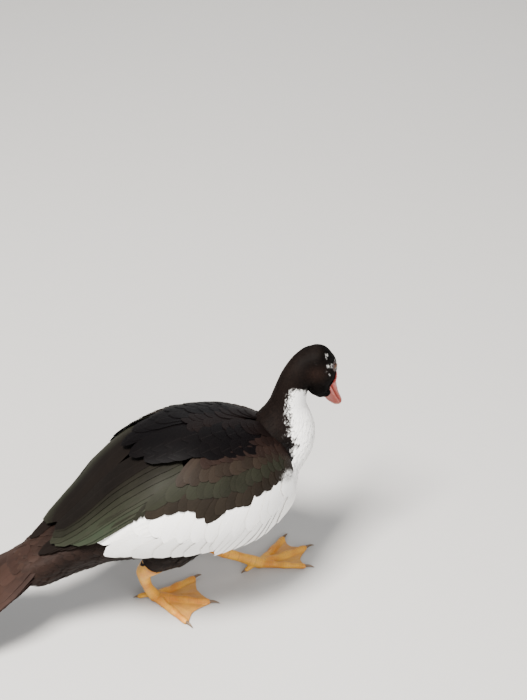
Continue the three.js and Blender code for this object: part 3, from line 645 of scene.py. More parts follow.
def closedMesh(rings):
    steps, around = rings.shape[:2]
    points = [*map(tuple, rings.reshape(-1, 3)), tuple(rings[0].mean(0)), tuple(rings[-1].mean(0))]
    first, last = steps * around, steps * around + 1
    turned = [(j, (j + 1) % around) for j in range(around)]
    faces = [(i * around + j, i * around + k, (i + 1) * around + k, (i + 1) * around + j)
             for i in range(steps - 1) for j, k in turned]
    for j, k in turned:
        faces += [(first, k, j), (last, (steps - 1) * around + j, (steps - 1) * around + k)]
    return points, faces


def roundedMesh(name, shapes, attribute=None, values=None):
    points, faces = [], []
    for shape in shapes:
        corners, sides = closedMesh(shape)
        faces += [tuple(i + len(points) for i in side) for side in sides]
        points += corners
    points = np.array(points, float)
    mesh = bpy.data.meshes.new(name)
    mesh.from_pydata((points * 0.001 + shift).tolist(), [], faces)
    mesh.polygons.foreach_set("use_smooth", np.ones(len(faces), bool))
    if attribute:
        setAttribute(mesh, attribute, values(points))
    return mesh


def remeshed(name, shapes, voxel, smoothing):
    mesh = roundedMesh(name, shapes)
    turned = bmesh.new()
    turned.from_mesh(mesh)
    bmesh.ops.recalc_face_normals(turned, faces=turned.faces)
    turned.to_mesh(mesh)
    turned.free()
    rough = bpy.data.objects.new(name, mesh)
    bpy.context.scene.collection.objects.link(rough)
    grid = rough.modifiers.new("grid", "REMESH")
    grid.mode, grid.voxel_size, grid.use_smooth_shade = "VOXEL", voxel, True
    soften = rough.modifiers.new("soften", "SMOOTH")
    soften.factor, soften.iterations = 0.5, smoothing
    depsgraph = bpy.context.evaluated_depsgraph_get()
    made = bpy.data.meshes.new_from_object(rough.evaluated_get(depsgraph))
    bpy.data.objects.remove(rough)
    return made


# The soft feathers stand furthest off at the front of the neck's base and under the tail.
def fuller(p):
    front = np.exp(-((p[..., 2] - 192) / 27) ** 2) * smooth(96, 128, p[..., 0])
    under = (smooth(-70, -105, p[..., 0]) * smooth(-184, -150, p[..., 0])
             * smooth(100, 84, p[..., 2]))
    moved = p.copy()
    moved[..., 0] += skinFacts["crop"] * front
    moved[..., 2] -= skinFacts["vent"] * under
    return moved


def ball(f, z, long, wide, tall):
    a = np.linspace(0.04, math.pi - 0.04, 24)[:, None]
    b = np.linspace(0, 2 * math.pi, 32, endpoint=False)[None, :]
    return np.stack([f - long * np.cos(a) + 0 * b, wide * np.sin(a) * np.cos(b),
                     z + tall * np.sin(a) * np.sin(b)], -1)


skinShapes = [
    fuller(ringsOfForm(torso, 90, 96, skinFacts["bodyDepth"])),
    fuller(tubeRings(neckLine, 70, 64, (1, 0, 0), skinFacts["neckDepth"])),
    fromHead(ringsOfForm(headForm, 60, 64, skinFacts["headDepth"])),
    *(fromHead(ball(*lobe)) for lobe in skinFacts["chin"]),
    *(tubeRings(line, 26, 40, (1, 0, 0), skinFacts["thighDepth"], 3) for line in legLines.values())]
skinMesh = remeshed("skin", skinShapes, skinFacts["voxel"], 8)
skinPoints = pointsOf(skinMesh)
print("skin", len(skinMesh.polygons), "faces")

neckCurves = curvesOf(neckLine)
neckTimes = np.linspace(0, len(neckLine) - 1, 160)
neckCentres = np.stack([c(neckTimes) for c in neckCurves[:3]], -1)
neckAlong = unit(np.gradient(neckCentres, axis=0))
neckRadius = (neckCurves[3](neckTimes) + neckCurves[4](neckTimes)) / 2
headBack = unit(fromHead([-1, 0, -0.12]) - fromHead([0, 0, 0]))


# How near a point is to each part of the body, and the way its feathers lie.
def bodyFields(p):
    batch = 12000  # to spare memory
    if len(p) > batch:
        slices = [bodyFields(p[k:k + batch]) for k in range(0, len(p), batch)]
        return {key: np.concatenate([each[key] for each in slices]) for key in slices[0]}
    gap = np.linalg.norm(p[:, None] - neckCentres[None], axis=-1)
    best = (gap / neckRadius).argmin(1)
    ratio = gap[np.arange(len(p)), best] / neckRadius[best]
    q = toHead(p)
    head = 1 - smooth(24, 36, np.linalg.norm(q - [0, 0, -6], axis=1))
    head = np.maximum(head, smooth(-4, 4, q[:, 0]) * smooth(-39, -33, q[:, 2]))
    neck = (1 - smooth(1.15, 1.7, ratio)) * smooth(1.0, 2.6, neckTimes[best])
    thigh = np.zeros(len(p))
    thighWay = np.zeros((len(p), 3))
    for line in legLines.values():
        curves = curvesOf(line, 4)
        t = np.linspace(0, 3.2, 40)
        centres = np.stack([c(t) for c in curves[:3]], -1)
        way = unit(np.gradient(centres, axis=0))
        d = np.linalg.norm(p[:, None] - centres[None], axis=-1) / curves[3](t)
        k = d.argmin(1)
        share = (1 - smooth(1.1, 1.7, d[np.arange(len(p)), k])) * (1 - smooth(84, 98, p[:, 2]))
        thighWay = np.where((share > thigh)[:, None], way[k], thighWay)
        thigh = np.maximum(thigh, share)
    tilt = 0.18 + 0.75 * smooth(30, 130, p[:, 0])
    body = unit(np.stack([-np.ones(len(p)), np.zeros(len(p)), -tilt], 1))
    way = body * (1 - neck)[:, None] - neckAlong[best] * neck[:, None]
    way = way * (1 - head)[:, None] + headBack * head[:, None]
    way = way * (1 - thigh)[:, None] + thighWay * thigh[:, None]
    around = p - neckCentres[best]
    front = np.degrees(np.arctan2(np.abs(around[:, 1]), around[:, 0]
                                  - neckAlong[best][:, 0] * (around * neckAlong[best]).sum(1)))
    return {"way": unit(way), "head": head, "neck": neck * (1 - head), "thigh": thigh,
            "neckTime": neckTimes[best], "neckFront": front}


# markings
# An even, wavy noise between about -1 and 1, its waves about size across.
def waver(p, size, seed):
    rng = np.random.default_rng(seed)
    total = np.zeros(len(p))
    for k in range(5):
        wave = rng.normal(size=3)
        wave *= (0.7 + 0.5 * k) / (size * np.linalg.norm(wave))
        total += np.sin(p @ wave * 2 * np.pi + rng.uniform(0, 6.28)) / (1 + 0.5 * k)
    return total / 3


whiteFace = [  # head frame: centre and reach of each white fleck, mirrored to both sides
    ((-27.9, 6.7, -10.3), 1.7), ((-23, 11.3, 4), 2.7), ((-21.9, 12.7, 0), 1.9),
    ((-14.6, 14.4, -4.9), 3.5), ((-8.4, 14.8, -2), 3.4), ((-1.1, 12.5, 8), 2.8),
    ((-7.7, 6.9, 12.8), 3.0), ((-13.3, 14.1, -11), 1.7), ((-3.2, 15.1, -9.9), 1.9),
    ((3, 7, 14), 2.4), ((8, 12, 4), 2.8), ((12, 6, 9), 3.4), ((17, 4, 6), 2.8)]


# How far round from its front the neck is white, in degrees, at each place along it.
neckWhite = ([0.9, 1.36, 1.56, 1.8, 2.2, 2.9, 3.6, 4.3, 4.9, 5.15, 5.35],
             [56, 64, 70, 75, 81, 88, 94, 100, 105, 91, -30])


def markings(p, fields):
    angle = torso.angleOf(p)
    rag = waver(p, 14, 5)
    below = smooth(-5, 5, angle - (57 + 6 * rag) - 9 * smooth(96, 60, p[:, 0]))
    body = np.maximum(below * smooth(12, 36, p[:, 0] + 8 * rag),
                      smooth(116, 124, p[:, 0] + 3 * rag) * smooth(196, 184, p[:, 2]))
    t = fields["neckTime"]
    reach = np.interp(t, *neckWhite)
    soft = 9 + 20 * smooth(66, 92, reach)
    neck = smooth(-1.5, 0.9, (reach - fields["neckFront"] + 11 * waver(p, 4.5, 11)) / soft)
    q = toHead(p)
    face = np.zeros(len(p))
    for (f, y, z), size in whiteFace:
        d = np.linalg.norm(np.stack([q[:, 0] - f, np.abs(q[:, 1]) - y, q[:, 2] - z], 1), axis=1)
        face = np.maximum(face, 1 - smooth(0.35, 1.15, d / size))
    face = face * np.clip(0.62 + 0.5 * waver(p, 3, 8), 0, 1)  # uneven flecks
    onNeck = smooth(150, 172, p[:, 2]) * smooth(0.03, 0.4, fields["neck"] + fields["head"])
    white = body * (1 - onNeck) + neck * onNeck
    white = white * (1 - fields["head"]) + face * fields["head"]
    white = white * (1 - fields["thigh"])
    brown = 0.06 + 0.14 * smooth(20, -60, p[:, 0]) + 0.2 * smooth(-120, -160, p[:, 0])
    brown = brown * smooth(50, 64, angle + 60 * smooth(-96, -110, p[:, 0]))
    brown = brown * (1 - fields["neck"]) + 0.09 * fields["neck"]
    # painted sheen: a lit brown patch on the cheek of the otherwise black head
    cheekSheen = np.exp(-(np.hypot(q[:, 0] + 14, q[:, 2] + 17) / 11) ** 2)
    brown = brown * (1 - fields["head"]) + (0.025 + 0.36 * cheekSheen) * fields["head"]
    green = np.full(len(p), 0.03)
    return np.stack([np.clip(white, 0, 1), green, np.clip(brown, 0, 1)], 1)


# coat
# Places on the skin at least a given distance apart, drawn the same way each time.
def scatter(points, triangles, facts, draw):
    wanted = facts["wanted"]
    corners = points[triangles]
    sides = corners[:, 1:] - corners[:, :1]
    area = np.linalg.norm(np.cross(sides[:, 0], sides[:, 1]), axis=1)
    tri = corners[draw.choice(len(triangles), wanted, p=area / area.sum())]
    a, b = np.sqrt(draw.random(wanted))[:, None], draw.random(wanted)[:, None]
    p = tri[:, 0] * (1 - a) + tri[:, 1] * (a * (1 - b)) + tri[:, 2] * (a * b)
    apart = facts["spacing"] * facts["grow"](p, bodyFields(p))
    places, limits = p.tolist(), (apart * apart).tolist()
    cells, kept = {}, []
    for i, (cx, cy, cz) in enumerate(np.floor(p / apart.max()).astype(int).tolist()):
        x, y, z = places[i]
        beside = ((cx + dx, cy + dy, cz + dz)
                  for dx in (-1, 0, 1) for dy in (-1, 0, 1) for dz in (-1, 0, 1))
        if all((x - u) * (x - u) + (y - v) * (y - v) + (z - w) * (z - w) >= limits[i]
               for cell in beside for u, v, w in cells.get(cell, ())):
            kept.append(i)
            cells.setdefault((cx, cy, cz), []).append(places[i])
    return p[kept]


skinMesh.calc_loop_triangles()
skinTriangles = np.empty(len(skinMesh.loop_triangles) * 3, np.int32)
skinMesh.loop_triangles.foreach_get("vertices", skinTriangles)
skinTriangles = skinTriangles.reshape(-1, 3)
skinTree = BVHTree.FromPolygons([tuple(p) for p in skinPoints], [tuple(t) for t in skinTriangles])


def onSkin(p):
    places, normals = np.empty_like(p), np.empty_like(p)
    for i, q in enumerate(p):
        place, normal, _, _ = skinTree.find_nearest(q)
        places[i], normals[i] = place, normal
    return places, normals


# Spacing, length, width and rise are for the middle of each coat; "grow" changes them over it.
coats = [
    {"name": "head_coat", "part": "head", "spacing": 1.045, "length": 3.5, "width": 1.75,
     "rise": 0.55, "rows": 4, "columns": 3, "wanted": 64000, "thick": 0.12, "slot": "head_feathers",
     "grow": lambda p, fields: 0.82 + 0.3 * smooth(6, -22, toHead(p)[:, 0])},
    {"name": "neck_coat", "part": "neck", "spacing": 1.7, "length": 6.6, "width": 3.0,
     "rise": 0.9, "rows": 5, "columns": 3, "wanted": 64000, "thick": 0.16, "slot": "neck_feathers",
     "grow": lambda p, fields: 0.62 + 0.85 * smooth(4.6, 1.4, fields["neckTime"])},
    {"name": "breast_coat", "part": "breast", "spacing": 3.9, "length": 15, "width": 7.6,
     "rise": 1.9, "rows": 6, "columns": 5, "wanted": 40000, "thick": 0.26, "slot": "body_feathers",
     "grow": lambda p, fields: 1.05 - 0.5 * fields["neck"]},
    {"name": "belly_coat", "part": "belly", "spacing": 4.2, "length": 17, "width": 8.6,
     "rise": 2.1, "rows": 6, "columns": 5, "wanted": 40000, "thick": 0.3, "slot": "body_feathers",
     "grow": lambda p, fields: np.ones(len(p))},
    {"name": "vent_coat", "part": "vent", "spacing": 4.2, "length": 18, "width": 9,
     "rise": 2.4, "rows": 6, "columns": 5, "wanted": 40000, "thick": 0.3, "slot": "body_feathers",
     "grow": lambda p, fields: 1 + 0.2 * smooth(-80, -140, p[:, 0])},
    {"name": "thigh_coat", "part": "thigh", "spacing": 2.4, "length": 8, "width": 3.9,
     "rise": 1.2, "rows": 5, "columns": 3, "wanted": 20000, "thick": 0.2, "slot": "body_feathers",
     "grow": lambda p, fields: 0.75 + 0.5 * smooth(62, 100, p[:, 2])}]


def skinMap(p):
    around = np.degrees(np.arctan2(p[:, 1], p[:, 2] - 140)) / 360 + 0.5
    turned = np.degrees(np.arctan2(p[:, 1], p[:, 0] - 128)) / 360 + 0.5
    along = np.clip((p[:, 0] + 190) / 410, 0, 1)
    up = np.clip((p[:, 2] - 196) / 100, 0, 1)
    high = smooth(196, 214, p[:, 2]) > 0.5  # neck and head have the right half of the map
    return np.stack([np.where(high, 0.52 + 0.46 * turned, 0.02 + 0.46 * around),
                     0.02 + 0.96 * np.where(high, up, along)], 1)


def buildCoat(facts, seed):
    draw = np.random.default_rng(seed)
    centre = skinPoints[skinTriangles].mean(1)
    fields = bodyFields(centre)
    part = facts["part"]
    angle = torso.angleOf(centre)
    # nothing of the coat would show under the folded wings
    hidden = (centre[:, 0] > -100) & (centre[:, 0] < 98) & (angle < 62) & (fields["neck"] < 0.4)
    nape = (fields["neck"] > 0.5) | (centre[:, 2] > 212)
    own = {"head": fields["head"] > 0.5, "neck": nape & (fields["head"] <= 0.5),
           "thigh": fields["thigh"] > 0.5}
    body = ~(own["head"] | own["neck"] | own["thigh"] | hidden)
    own["breast"] = body & (centre[:, 0] > 70)
    own["belly"] = body & (centre[:, 0] <= 70) & (centre[:, 0] > -50)
    own["vent"] = body & (centre[:, 0] <= -50)
    roots = scatter(skinPoints, skinTriangles[own[part]], facts, draw)
    if part == "head":  # none over the eyes or where the bill begins
        q = toHead(roots)
        away = np.linalg.norm(np.stack([q[:, 0] / 5.6, (q[:, 2] - 1.5) / 4.7], 1), axis=1)
        bare = (q[:, 0] > 21.5) & (q[:, 2] > -13)
        roots = roots[~((away < 1) & (np.abs(q[:, 1]) > 8)) & ~bare]
    count, rows = len(roots), facts["rows"]
    size = draw.uniform(0.85, 1.15, count) * facts["grow"](roots, bodyFields(roots))
    spine = np.empty((count, rows, 3))
    normals = np.empty((count, rows, 3))
    at, n = onSkin(roots)
    step = facts["length"] / (rows - 1)
    sway = draw.normal(0, 0.10, (count, 3))
    for k in range(rows):
        spine[:, k], normals[:, k] = at, n
        way = bodyFields(at)["way"] + sway
        way = unit(way - n * (way * n).sum(1)[:, None])
        if k < rows - 1:
            at, n = onSkin(at + way * (step * size)[:, None])
    t = np.linspace(0, 1, rows)[None, :, None]
    spine = spine + normals * ((t ** 0.8 * facts["rise"] + 0.1) * size[:, None, None])
    half = halves("down", count, rows, facts["width"] * size, 0.12, draw)
    points, quads, ts = vanes(spine, normals, half, facts["columns"], facts["thick"], camber=0.16)
    each = 2 * rows * facts["columns"]
    tone = np.repeat(draw.random(count), each)
    places = spine.reshape(-1, 3)
    mark = markings(places, bodyFields(places)).reshape(count, rows, 3)
    mark = 0.55 * mark + 0.45 * markings(roots, bodyFields(roots))[:, None]
    mark = np.repeat(np.repeat(mark[:, None], 2, axis=1), facts["columns"], axis=2).reshape(-1, 3)
    patch = 0.003  # of the map, for each feather at its root's place
    uv = (np.repeat(skinMap(roots), each, axis=0)
          + np.column_stack([ts[:, 1] / 2, ts[:, 0] - 0.5]) * patch)
    coat = {"points": points, "quads": quads, "vane": np.column_stack([ts, tone]), "mark": mark,
            "uv": uv}
    material = neckMaterial if part in ("head", "neck") else bodyMaterial
    featherPiece(facts["name"], [coat], material)


for number, facts in enumerate(coats):
    buildCoat(facts, 300 + number)
print("coat made")

setAttribute(skinMesh, "mark", markings(skinPoints, bodyFields(skinPoints)))
setAttribute(skinMesh, "vane", np.full((len(skinPoints), 3), 0.5))
setMap(skinMesh, skinMap(skinPoints))
newObject("skin", skinMesh, neckMaterial,
          ("torso", "neck_lower", "neck_upper", "head", "thigh_left", "thigh_right"))


# bill
billUpper = RingForm([
    [18, -5, -5, -5, 0], [18.2, 6.5, -7, -11.6, 11], [26, 2.4, -8.4, -12.2, 10.2],
    [36, -3.2, -10.6, -13.2, 9.6], [48, -8, -12.9, -15, 10], [60, -11, -14.6, -16.6, 10.8],
    [67, -13.4, -16, -18, 8.6], [71, -16.4, -17.6, -19.2, 4.4], [72, -18.4, -18.4, -18.4, 0]], 0.85)
billLower = RingForm([
    [16, -15, -15, -15, 0], [16.2, -11, -14, -18.2, 9.2], [28, -11.7, -14.2, -17.6, 8.2],
    [44, -13.8, -15.4, -17.8, 8.2], [58, -15.7, -17, -18.9, 9], [65, -17.4, -18.4, -19.8, 6.8],
    [68, -19.1, -19.4, -19.7, 0]], 0.9)
billFacts = {"nostril": (38, 7.6, -6.2), "nostrilSize": (3.4, 2.0), "nostrilTurn": 22,
             "nostrilDepth": 2.0, "nostrilRim": 0.35, "nail": (66, 5.4), "nailRise": 0.45,
             "lipRise": 0.3, "red": (0.33, 0.042, 0.034), "pink": (0.32, 0.060, 0.042),
             "horn": (0.43, 0.19, 0.135), "dusky": (0.10, 0.05, 0.05)}


def billGrid(form, steps, around, upper):
    t = np.linspace(0.04, form.last - 0.03, steps)[:, None]
    a = np.linspace(0, 360, around, endpoint=False)[None, :]
    p, n = form.point(t, a), form.normal(t, a)
    if not upper:
        return p
    f, _, z = billFacts["nostril"]
    turn = math.radians(billFacts["nostrilTurn"])
    u, v = p[..., 0] - f, p[..., 2] - z
    u, v = u * math.cos(turn) - v * math.sin(turn), u * math.sin(turn) + v * math.cos(turn)
    d = np.hypot(u / billFacts["nostrilSize"][0], v / billFacts["nostrilSize"][1])
    d = np.where(np.abs(p[..., 1]) > 4, d, 9)
    lift = (billFacts["nostrilRim"] * np.exp(-((d - 1.25) / 0.3) ** 2)
            - billFacts["nostrilDepth"] * (1 - smooth(0.55, 1.0, d)))
    begin, half = billFacts["nail"]
    nail = (smooth(begin - 4, begin - 1.5, p[..., 0])
            * (1 - smooth(half - 1.4, half, np.abs(p[..., 1]))))
    lift = lift + billFacts["nailRise"] * nail * (np.cos(np.radians(a)) > 0)
    lip = np.exp(-((a - 100) / 9) ** 2) + np.exp(-((a - 260) / 9) ** 2)
    lift = lift + billFacts["lipRise"] * lip * smooth(24, 34, p[..., 0])
    return p + n * lift[..., None]


def billMaterial():
    m = Finish("bill horn")
    along, _, nostril = m.parts("bill")
    cloud, fine = m.noise(90, 4), m.noise(700)
    colour = m.mix(along.smooth(0.05, 0.5), billFacts["red"], billFacts["pink"])
    colour = m.mix(along.smooth(0.84, 0.95) * 0.8, colour, billFacts["horn"])
    colour = m.mix(cloud.smooth(0.5, 0.75) * 0.45, colour, billFacts["red"])
    # painted shade darkens the nostril's opening; the fine dusky specks are the bill's own mottling
    colour = m.mix((fine.smooth(0.62, 0.8) * 0.25 + nostril * 0.9).maths("MINIMUM", 1), colour,
                   billFacts["dusky"])
    return m.surface({"Base Color": colour, "Roughness": 0.38 + 0.2 * (cloud - 0.5),
                      "Normal": m.bump(fine + cloud, 0.35, 0.0003), "Subsurface Weight": 0.08,
                      "Subsurface Scale": 0.004, "Specular IOR Level": 0.5})


def billValues(points):
    q = toHead(points)
    away = np.stack([q[:, 0], np.abs(q[:, 1]), q[:, 2]], 1) - billFacts["nostril"]
    # the third value marks the nostril, which the bill's material darkens as painted shade
    dark = 1 - smooth(1.8, 3.2, np.linalg.norm(away * [1, 0.6, 1.5], axis=1))
    return np.stack([(q[:, 0] - 18) / 54, (q[:, 2] + 20) / 26, dark], 1)


horn = billMaterial()
for half, form, steps, around in (("upper", billUpper, 120, 112), ("lower", billLower, 90, 80)):
    rings = fromHead(billGrid(form, steps, around, half == "upper"))
    newObject(half + "_bill", roundedMesh(f"bill_{half}_form", [rings], "bill", billValues), horn,
              ("bill_" + half,))


# The small red bumps of bare skin where the bill meets the forehead and along the lores.
def caruncles():
    draw = np.random.default_rng(12)
    shapes = []
    for k in (-1, 0, 1):
        size = 2.6 - 0.5 * abs(k)
        shapes.append(fromHead(ball(24.5, 4.2 - 1.4 * abs(k), size, size, size) + [0, 4.2 * k, 0]))
    for _ in range(64):
        angle = draw.uniform(-100, 100)
        f = 21.5 + draw.uniform(0, 4.5) * (1 - abs(angle) / 160)
        t = float(headForm.station(min(f, 26.5)))
        spot = headForm.point(t, abs(angle)) * [1, math.copysign(1, angle), 1]
        size = draw.uniform(0.7, 1.5)
        shapes.append(fromHead(ball(spot[0], spot[2], size, size, size * 0.8) + [0, spot[1], 0]))
    return shapes


newObject("caruncles", roundedMesh("caruncle_forms", caruncles(), "bill",
                                   lambda p: np.zeros((len(p), 3))), horn)


# eyes and lids
eyeFacts = {"radius": 5.3, "centre": (0, 11.4, 1.5), "opening": (4.1, 3.2), "pupil": 0.34,
            "iris": (0.07, 0.026, 0.010), "rim": (0.016, 0.007, 0.004),
            "spoke": (0.12, 0.05, 0.015), "black": (0.002, 0.002, 0.002),
            "lidSkin": (0.012, 0.008, 0.007), "lidRidge": (0.042, 0.022, 0.02)}
lidRows = [  # past the opening, how far it follows the eye's ball, height over it
    (-0.15, 1, -0.7), (0, 1, 0.1), (0.2, 1, 0.34), (0.5, 0.75, 0.42), (0.9, 0.3, 0.34),
    (1.3, 0, 0.2), (1.8, 0, -0.3), (2.4, 0, -1.5)]


def eyeMaterial():
    m = Finish("eye")
    gaze, around, _ = m.parts("gaze")
    rays = m.streaks(around * 26, gaze * 3)
    colour = m.mix(gaze.smooth(0.36, 0.72), eyeFacts["iris"], eyeFacts["rim"])
    colour = m.mix(rays.smooth(0.4, 0.7) * 0.4, colour, eyeFacts["spoke"])
    pupil = eyeFacts["pupil"]
    colour = m.mix(gaze.smooth(pupil - 0.02, pupil + 0.015), eyeFacts["black"], colour)
    return m.surface({"Base Color": colour, "Roughness": 0.16 + 0.1 * rays, "Coat Weight": 0.7,
                      "Coat Roughness": 0.03, "Specular IOR Level": 0.2})


def lidMaterial():
    m = Finish("lid")
    cloud = m.noise(160)
    colour = m.mix(cloud.smooth(0.35, 0.75), eyeFacts["lidSkin"], eyeFacts["lidRidge"])
    return m.surface({"Base Color": colour, "Roughness": 0.5 + 0.2 * (cloud - 0.5),
                      "Normal": m.bump(m.cells(900), 0.5, 0.0003)})


def headSide(f, z):
    t = headForm.station(f)
    middle = headForm.middle(t)
    tall = np.where(z > middle, headForm.top(t) - middle, middle - headForm.bottom(t))
    rise = np.clip(np.abs(z - middle) / tall, 0, 1) ** (1 / headForm.roundness)
    return headForm.half(t) * np.sqrt(1 - rise ** 2) ** headForm.roundness


def buildEye(name, side):
    f, y, z = eyeFacts["centre"]
    radius = eyeFacts["radius"]
    a = np.linspace(0.02, math.pi - 0.02, 48)[:, None]
    b = np.linspace(0, 2 * math.pi, 64, endpoint=False)[None, :]
    rings = np.stack([f + radius * np.sin(a) * np.cos(b), side * (y + radius * np.cos(a) + 0 * b),
                      z + radius * np.sin(a) * np.sin(b)], -1)

    def gazeOf(points):
        q = (toHead(points) - [f, side * y, z]) / radius
        return np.stack([np.hypot(q[:, 0] - 0.06, q[:, 2] - 0.02) + 2 * (q[:, 1] * side < 0),
                         np.arctan2(q[:, 2], q[:, 0]) / 6.283, 0 * q[:, 0]], 1)

    mesh = roundedMesh(name + "_ball", [fromHead(rings)], "gaze", gazeOf)
    newObject(name, mesh, eyeFinish, (name.replace("_ball", ""),))
    b = np.linspace(0, 2 * math.pi, 72, endpoint=False)
    wide, tall = eyeFacts["opening"]
    inner = np.hypot(wide * np.cos(b), tall * np.sin(b))
    rows = []
    for extra, onBall, lift in lidRows:
        corner = 1 + 0.16 * np.abs(np.cos(b)) ** 6 * extra
        r = inner * (1 + 0.1 * np.abs(np.cos(b)) ** 8) + extra * corner
        pf, pz = f + r * np.cos(b), z + r * np.sin(b)
        ballY = y + np.sqrt(np.maximum(radius ** 2 - r ** 2, 0.5))
        out = ballY * onBall + headSide(pf, pz) * (1 - onBall) + lift
        rows.append(np.stack([pf, side * out, pz], -1))
    grid = np.array(rows)
    count = grid.shape[1]
    quads = [(i * count + j, i * count + (j + 1) % count, (i + 1) * count + (j + 1) % count,
              (i + 1) * count + j) for i in range(len(grid) - 1) for j in range(count)]
    lid = meshOf("lid_sheet", fromHead(grid), np.array(quads)[:, ::int(-side)])
    newObject(name.replace("eye", "lids"), lid, lidFinish)


eyeFinish, lidFinish = eyeMaterial(), lidMaterial()
buildEye("eye_left_ball", 1)
buildEye("eye_right_ball", -1)
print("head made")


# legs and feet
legFacts = {
    "right": {"turn": -26, "toes": [(44, 60, 4.4), (0, 68, 4.8), (-41, 60, 4.5)]},
    "left": {"turn": 10, "toes": [(-32, 58, 4.4), (0, 68, 4.8), (30, 61, 4.5)]},
    "voxel": 0.0009, "yellow": (0.74, 0.36, 0.024), "orange": (0.58, 0.205, 0.010),
    "web": (0.46, 0.21, 0.035), "dusk": (0.12, 0.065, 0.03), "claw": (0.11, 0.065, 0.035),
    "clawStreak": (0.13, 0.08, 0.045), "hindToe": 22}
# Share of the toe's length (or millimetres behind its root), height, half width, half depth.
toeShape = [(-2, 5, 1.2, 1.1), (0.22, 4.4, 1.02, 1.02), (0.36, 3.4, 0.84, 0.82),
            (0.5, 3.4, 0.95, 0.9), (0.66, 2.7, 0.74, 0.7), (0.82, 2.6, 0.78, 0.72),
            (0.9, 2.5, 0.55, 0.5)]
clawShape = [(0.86, 2.7, 1.6, 1.7), (0.91, 3.1, 1.6, 1.8), (0.96, 3.3, 1.35, 1.5),
             (1.01, 2.7, 0.9, 1.0), (1.06, 1.2, 0.35, 0.35)]
hindShape = [(0.0, 8, 4, 4), (9 / 22, 6.5, 3, 3.2), (16 / 22, 3.6, 2.6, 2.8),
             (19 / 22, 2.6, 1.9, 2)]
hindClaw = [(17 / 22, 3.2, 1.5, 1.6), (20 / 22, 2.4, 1.1, 1.2), (24 / 22, 0.7, 0.35, 0.35)]


def toeRows(start, bearing, length, radius, shape):
    way = np.array([math.cos(math.radians(bearing)), math.sin(math.radians(bearing))])
    return [[*(start + way * (reach if reach < 0 else reach * length)), height, half * radius,
             deep * radius] for reach, height, half, deep in shape]


def webRings(start, first, second):
    across, reach = 26, 20
    u = np.linspace(0, 1, across)[:, None]
    r = np.linspace(0, 1, reach)[None, :]
    angle = np.radians(first[0] + (second[0] - first[0]) * u)
    length = first[1] + (second[1] - first[1]) * u
    edge = length * (0.93 - 0.17 * np.sin(np.pi * u))
    far = 3 + (edge - 3) * r
    fold = 0.28 * np.cos(u * np.pi * 7) * np.sin(np.pi * u) * smooth(0.2, 0.9, r)
    middle = 1.35 + 1.5 * (1 - r) + fold
    x, y = start[0] + far * np.cos(angle), start[1] + far * np.sin(angle)
    top = np.stack([x, y, middle + 0.65], -1)
    under = np.stack([x, y, middle - 0.65], -1)
    return np.concatenate([top, under[:, ::-1]], axis=1)


def legMaterial():
    m = Finish("leg skin")
    along, web, tone = m.parts("scale")
    cloud, fine = m.noise(60, 4), m.noise(420)
    small = m.cells(520, "DISTANCE_TO_EDGE")
    step = (along * 0.38 + (fine - 0.5) * 0.35).maths("FRACT")
    groove = (1 - step.smooth(0.0, 0.14)) + step.smooth(0.9, 1.0)
    scute = 1 - web.smooth(0.1, 0.4)
    colour = m.mix(cloud.smooth(0.35, 0.7), legFacts["yellow"], legFacts["orange"])
    colour = m.mix(web.smooth(0.2, 0.9) * (0.45 + 0.4 * cloud), colour, legFacts["web"])
    lines = (groove * scute * 0.45).maths("MAXIMUM", (1 - small.smooth(0, 0.09)) * 0.3)
    colour = m.mix(lines, colour, legFacts["dusk"])
    colour = m.mix(fine.smooth(0.6, 0.8) * 0.25 + tone * 0.3, colour, legFacts["dusk"])
    height = small.smooth(0, 0.12) * 0.5 - groove * scute
    return m.surface({"Base Color": colour, "Roughness": 0.46 + 0.25 * (fine - 0.5),
                      "Normal": m.bump(height, 0.6, 0.0005), "Specular IOR Level": 0.45,
                      "Subsurface Weight": 0.06, "Subsurface Scale": 0.003})


def clawMaterial():
    m = Finish("claw")
    grain = m.noise(300)
    colour = m.mix(grain.smooth(0.4, 0.7), legFacts["claw"], legFacts["clawStreak"])
    return m.surface({"Base Color": colour, "Roughness": 0.35 + 0.2 * grain,
                      "Normal": m.bump(grain, 0.3, 0.0002)})


legSkin, clawHorn = legMaterial(), clawMaterial()


def axisOf(rings):
    centres = rings.mean(1)
    return centres, np.linalg.norm(rings - centres[:, None], axis=2).max(1)


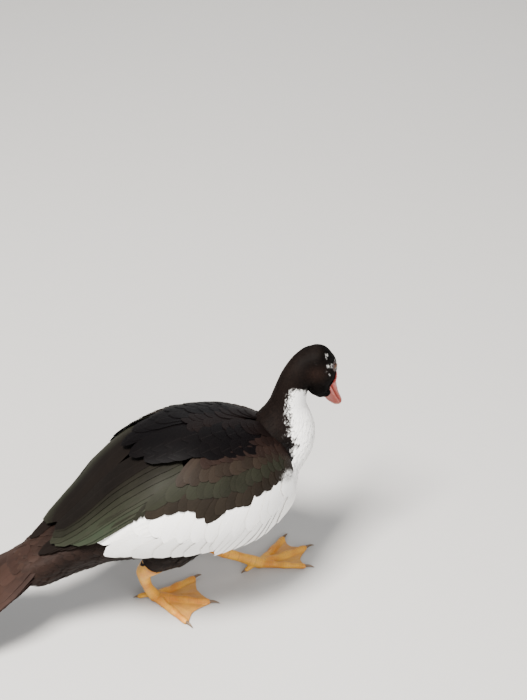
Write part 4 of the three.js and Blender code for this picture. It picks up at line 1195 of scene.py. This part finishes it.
def buildLeg(side):
    line, facts, hind = legLines[side], legFacts[side], legFacts["hindToe"]
    start = np.array(line[-1][:2], float)
    shapes, claws, spread = [tubeRings(line[2:], 60, 48, (1, 0, 0))], [], []
    for bearing, length, radius in facts["toes"]:
        heading = facts["turn"] + bearing
        spread.append((heading, length))
        shapes.append(tubeRings(toeRows(start, heading, length, radius, toeShape), 70, 28))
        claws.append(tubeRings(toeRows(start, heading, length, 1, clawShape), 20, 16))
    back = facts["turn"] + 180
    shapes.append(tubeRings(toeRows(start, back, hind, 1, hindShape), 26, 20))
    claws.append(tubeRings(toeRows(start, back, hind, 1, hindClaw), 12, 14))
    webs = [webRings(start, spread[k], spread[k + 1]) for k in range(2)]
    mesh = remeshed("leg_" + side, shapes + webs, legFacts["voxel"], 4)
    points = pointsOf(mesh)
    points[:, 2] = np.maximum(points[:, 2], 0)
    mesh.vertices.foreach_set("co", (points * 0.001 + shift).ravel())
    best, along = np.full(len(points), 9.0), np.zeros(len(points))
    for centres, radii in map(axisOf, shapes):
        d = np.linalg.norm(points[:, None] - centres[None], axis=-1) / radii
        k = d.argmin(1)
        steps = np.linalg.norm(np.diff(centres, axis=0), axis=1)
        run = np.concatenate([[0], np.cumsum(steps)])
        near = d[np.arange(len(points)), k]
        along = np.where(near < best, run[k], along)
        best = np.minimum(best, near)
    tone = np.clip(0.5 + 0.5 * waver(points, 12, 21), 0, 1) * 0.6
    setAttribute(mesh, "scale", np.stack([along, smooth(1.05, 1.6, best), tone], 1))
    newObject(side + "_leg", mesh, legSkin, ("shank_" + side, "foot_" + side))
    clawShapes = [np.maximum(claw, [-np.inf, -np.inf, 0]) for claw in claws]
    newObject(side + "_claws", roundedMesh("claw_forms_" + side, clawShapes), clawHorn)
    print(side, "leg", len(mesh.polygons), "faces")


buildLeg("right")
buildLeg("left")


# floor and light
floorFacts = {"size": 30, "pale": (0.44, 0.43, 0.415), "shade": (0.40, 0.39, 0.375)}


def floorMaterial():
    m = Finish("floor")
    colour = m.mix(m.noise(30, 4) * 0.25, floorFacts["pale"], floorFacts["shade"])
    return m.surface({"Base Color": colour, "Roughness": 0.9, "Specular IOR Level": 0.2})


bpy.ops.mesh.primitive_plane_add(size=floorFacts["size"], location=(0, 0, 0))
ground = bpy.context.object
ground.name = "floor"
ground.data.materials.append(floorMaterial())

lights = [
    {"name": "key", "place": (-0.95, -0.72, 2.5), "size": 0.8, "power": 330,
     "colour": (1, 0.97, 0.93)},
    {"name": "fill", "place": (0.5, -2.4, 1.3), "size": 1.8, "power": 62,
     "colour": (0.97, 0.98, 1)},
    {"name": "back", "place": (0.9, 1.8, 1.3), "size": 1.4, "power": 14, "colour": (1, 1, 1)}]
lightTarget = Vector((0.0, 0, 0.12))
for facts in lights:
    data = bpy.data.lights.new(facts["name"], "AREA")
    data.size, data.energy, data.color = facts["size"], facts["power"], facts["colour"]
    lamp = bpy.data.objects.new(facts["name"], data)
    bpy.context.scene.collection.objects.link(lamp)
    lamp.location = facts["place"]
    lamp.rotation_mode = "QUATERNION"
    lamp.rotation_quaternion = (lightTarget - lamp.location).to_track_quat("-Z", "Y")

world = bpy.data.worlds.new("studio")
bpy.context.scene.world = world
world.use_nodes = True
background = world.node_tree.nodes["Background"].inputs
background["Color"].default_value = (0.95, 0.97, 1, 1)
background["Strength"].default_value = 0.5
print("floor and light made")
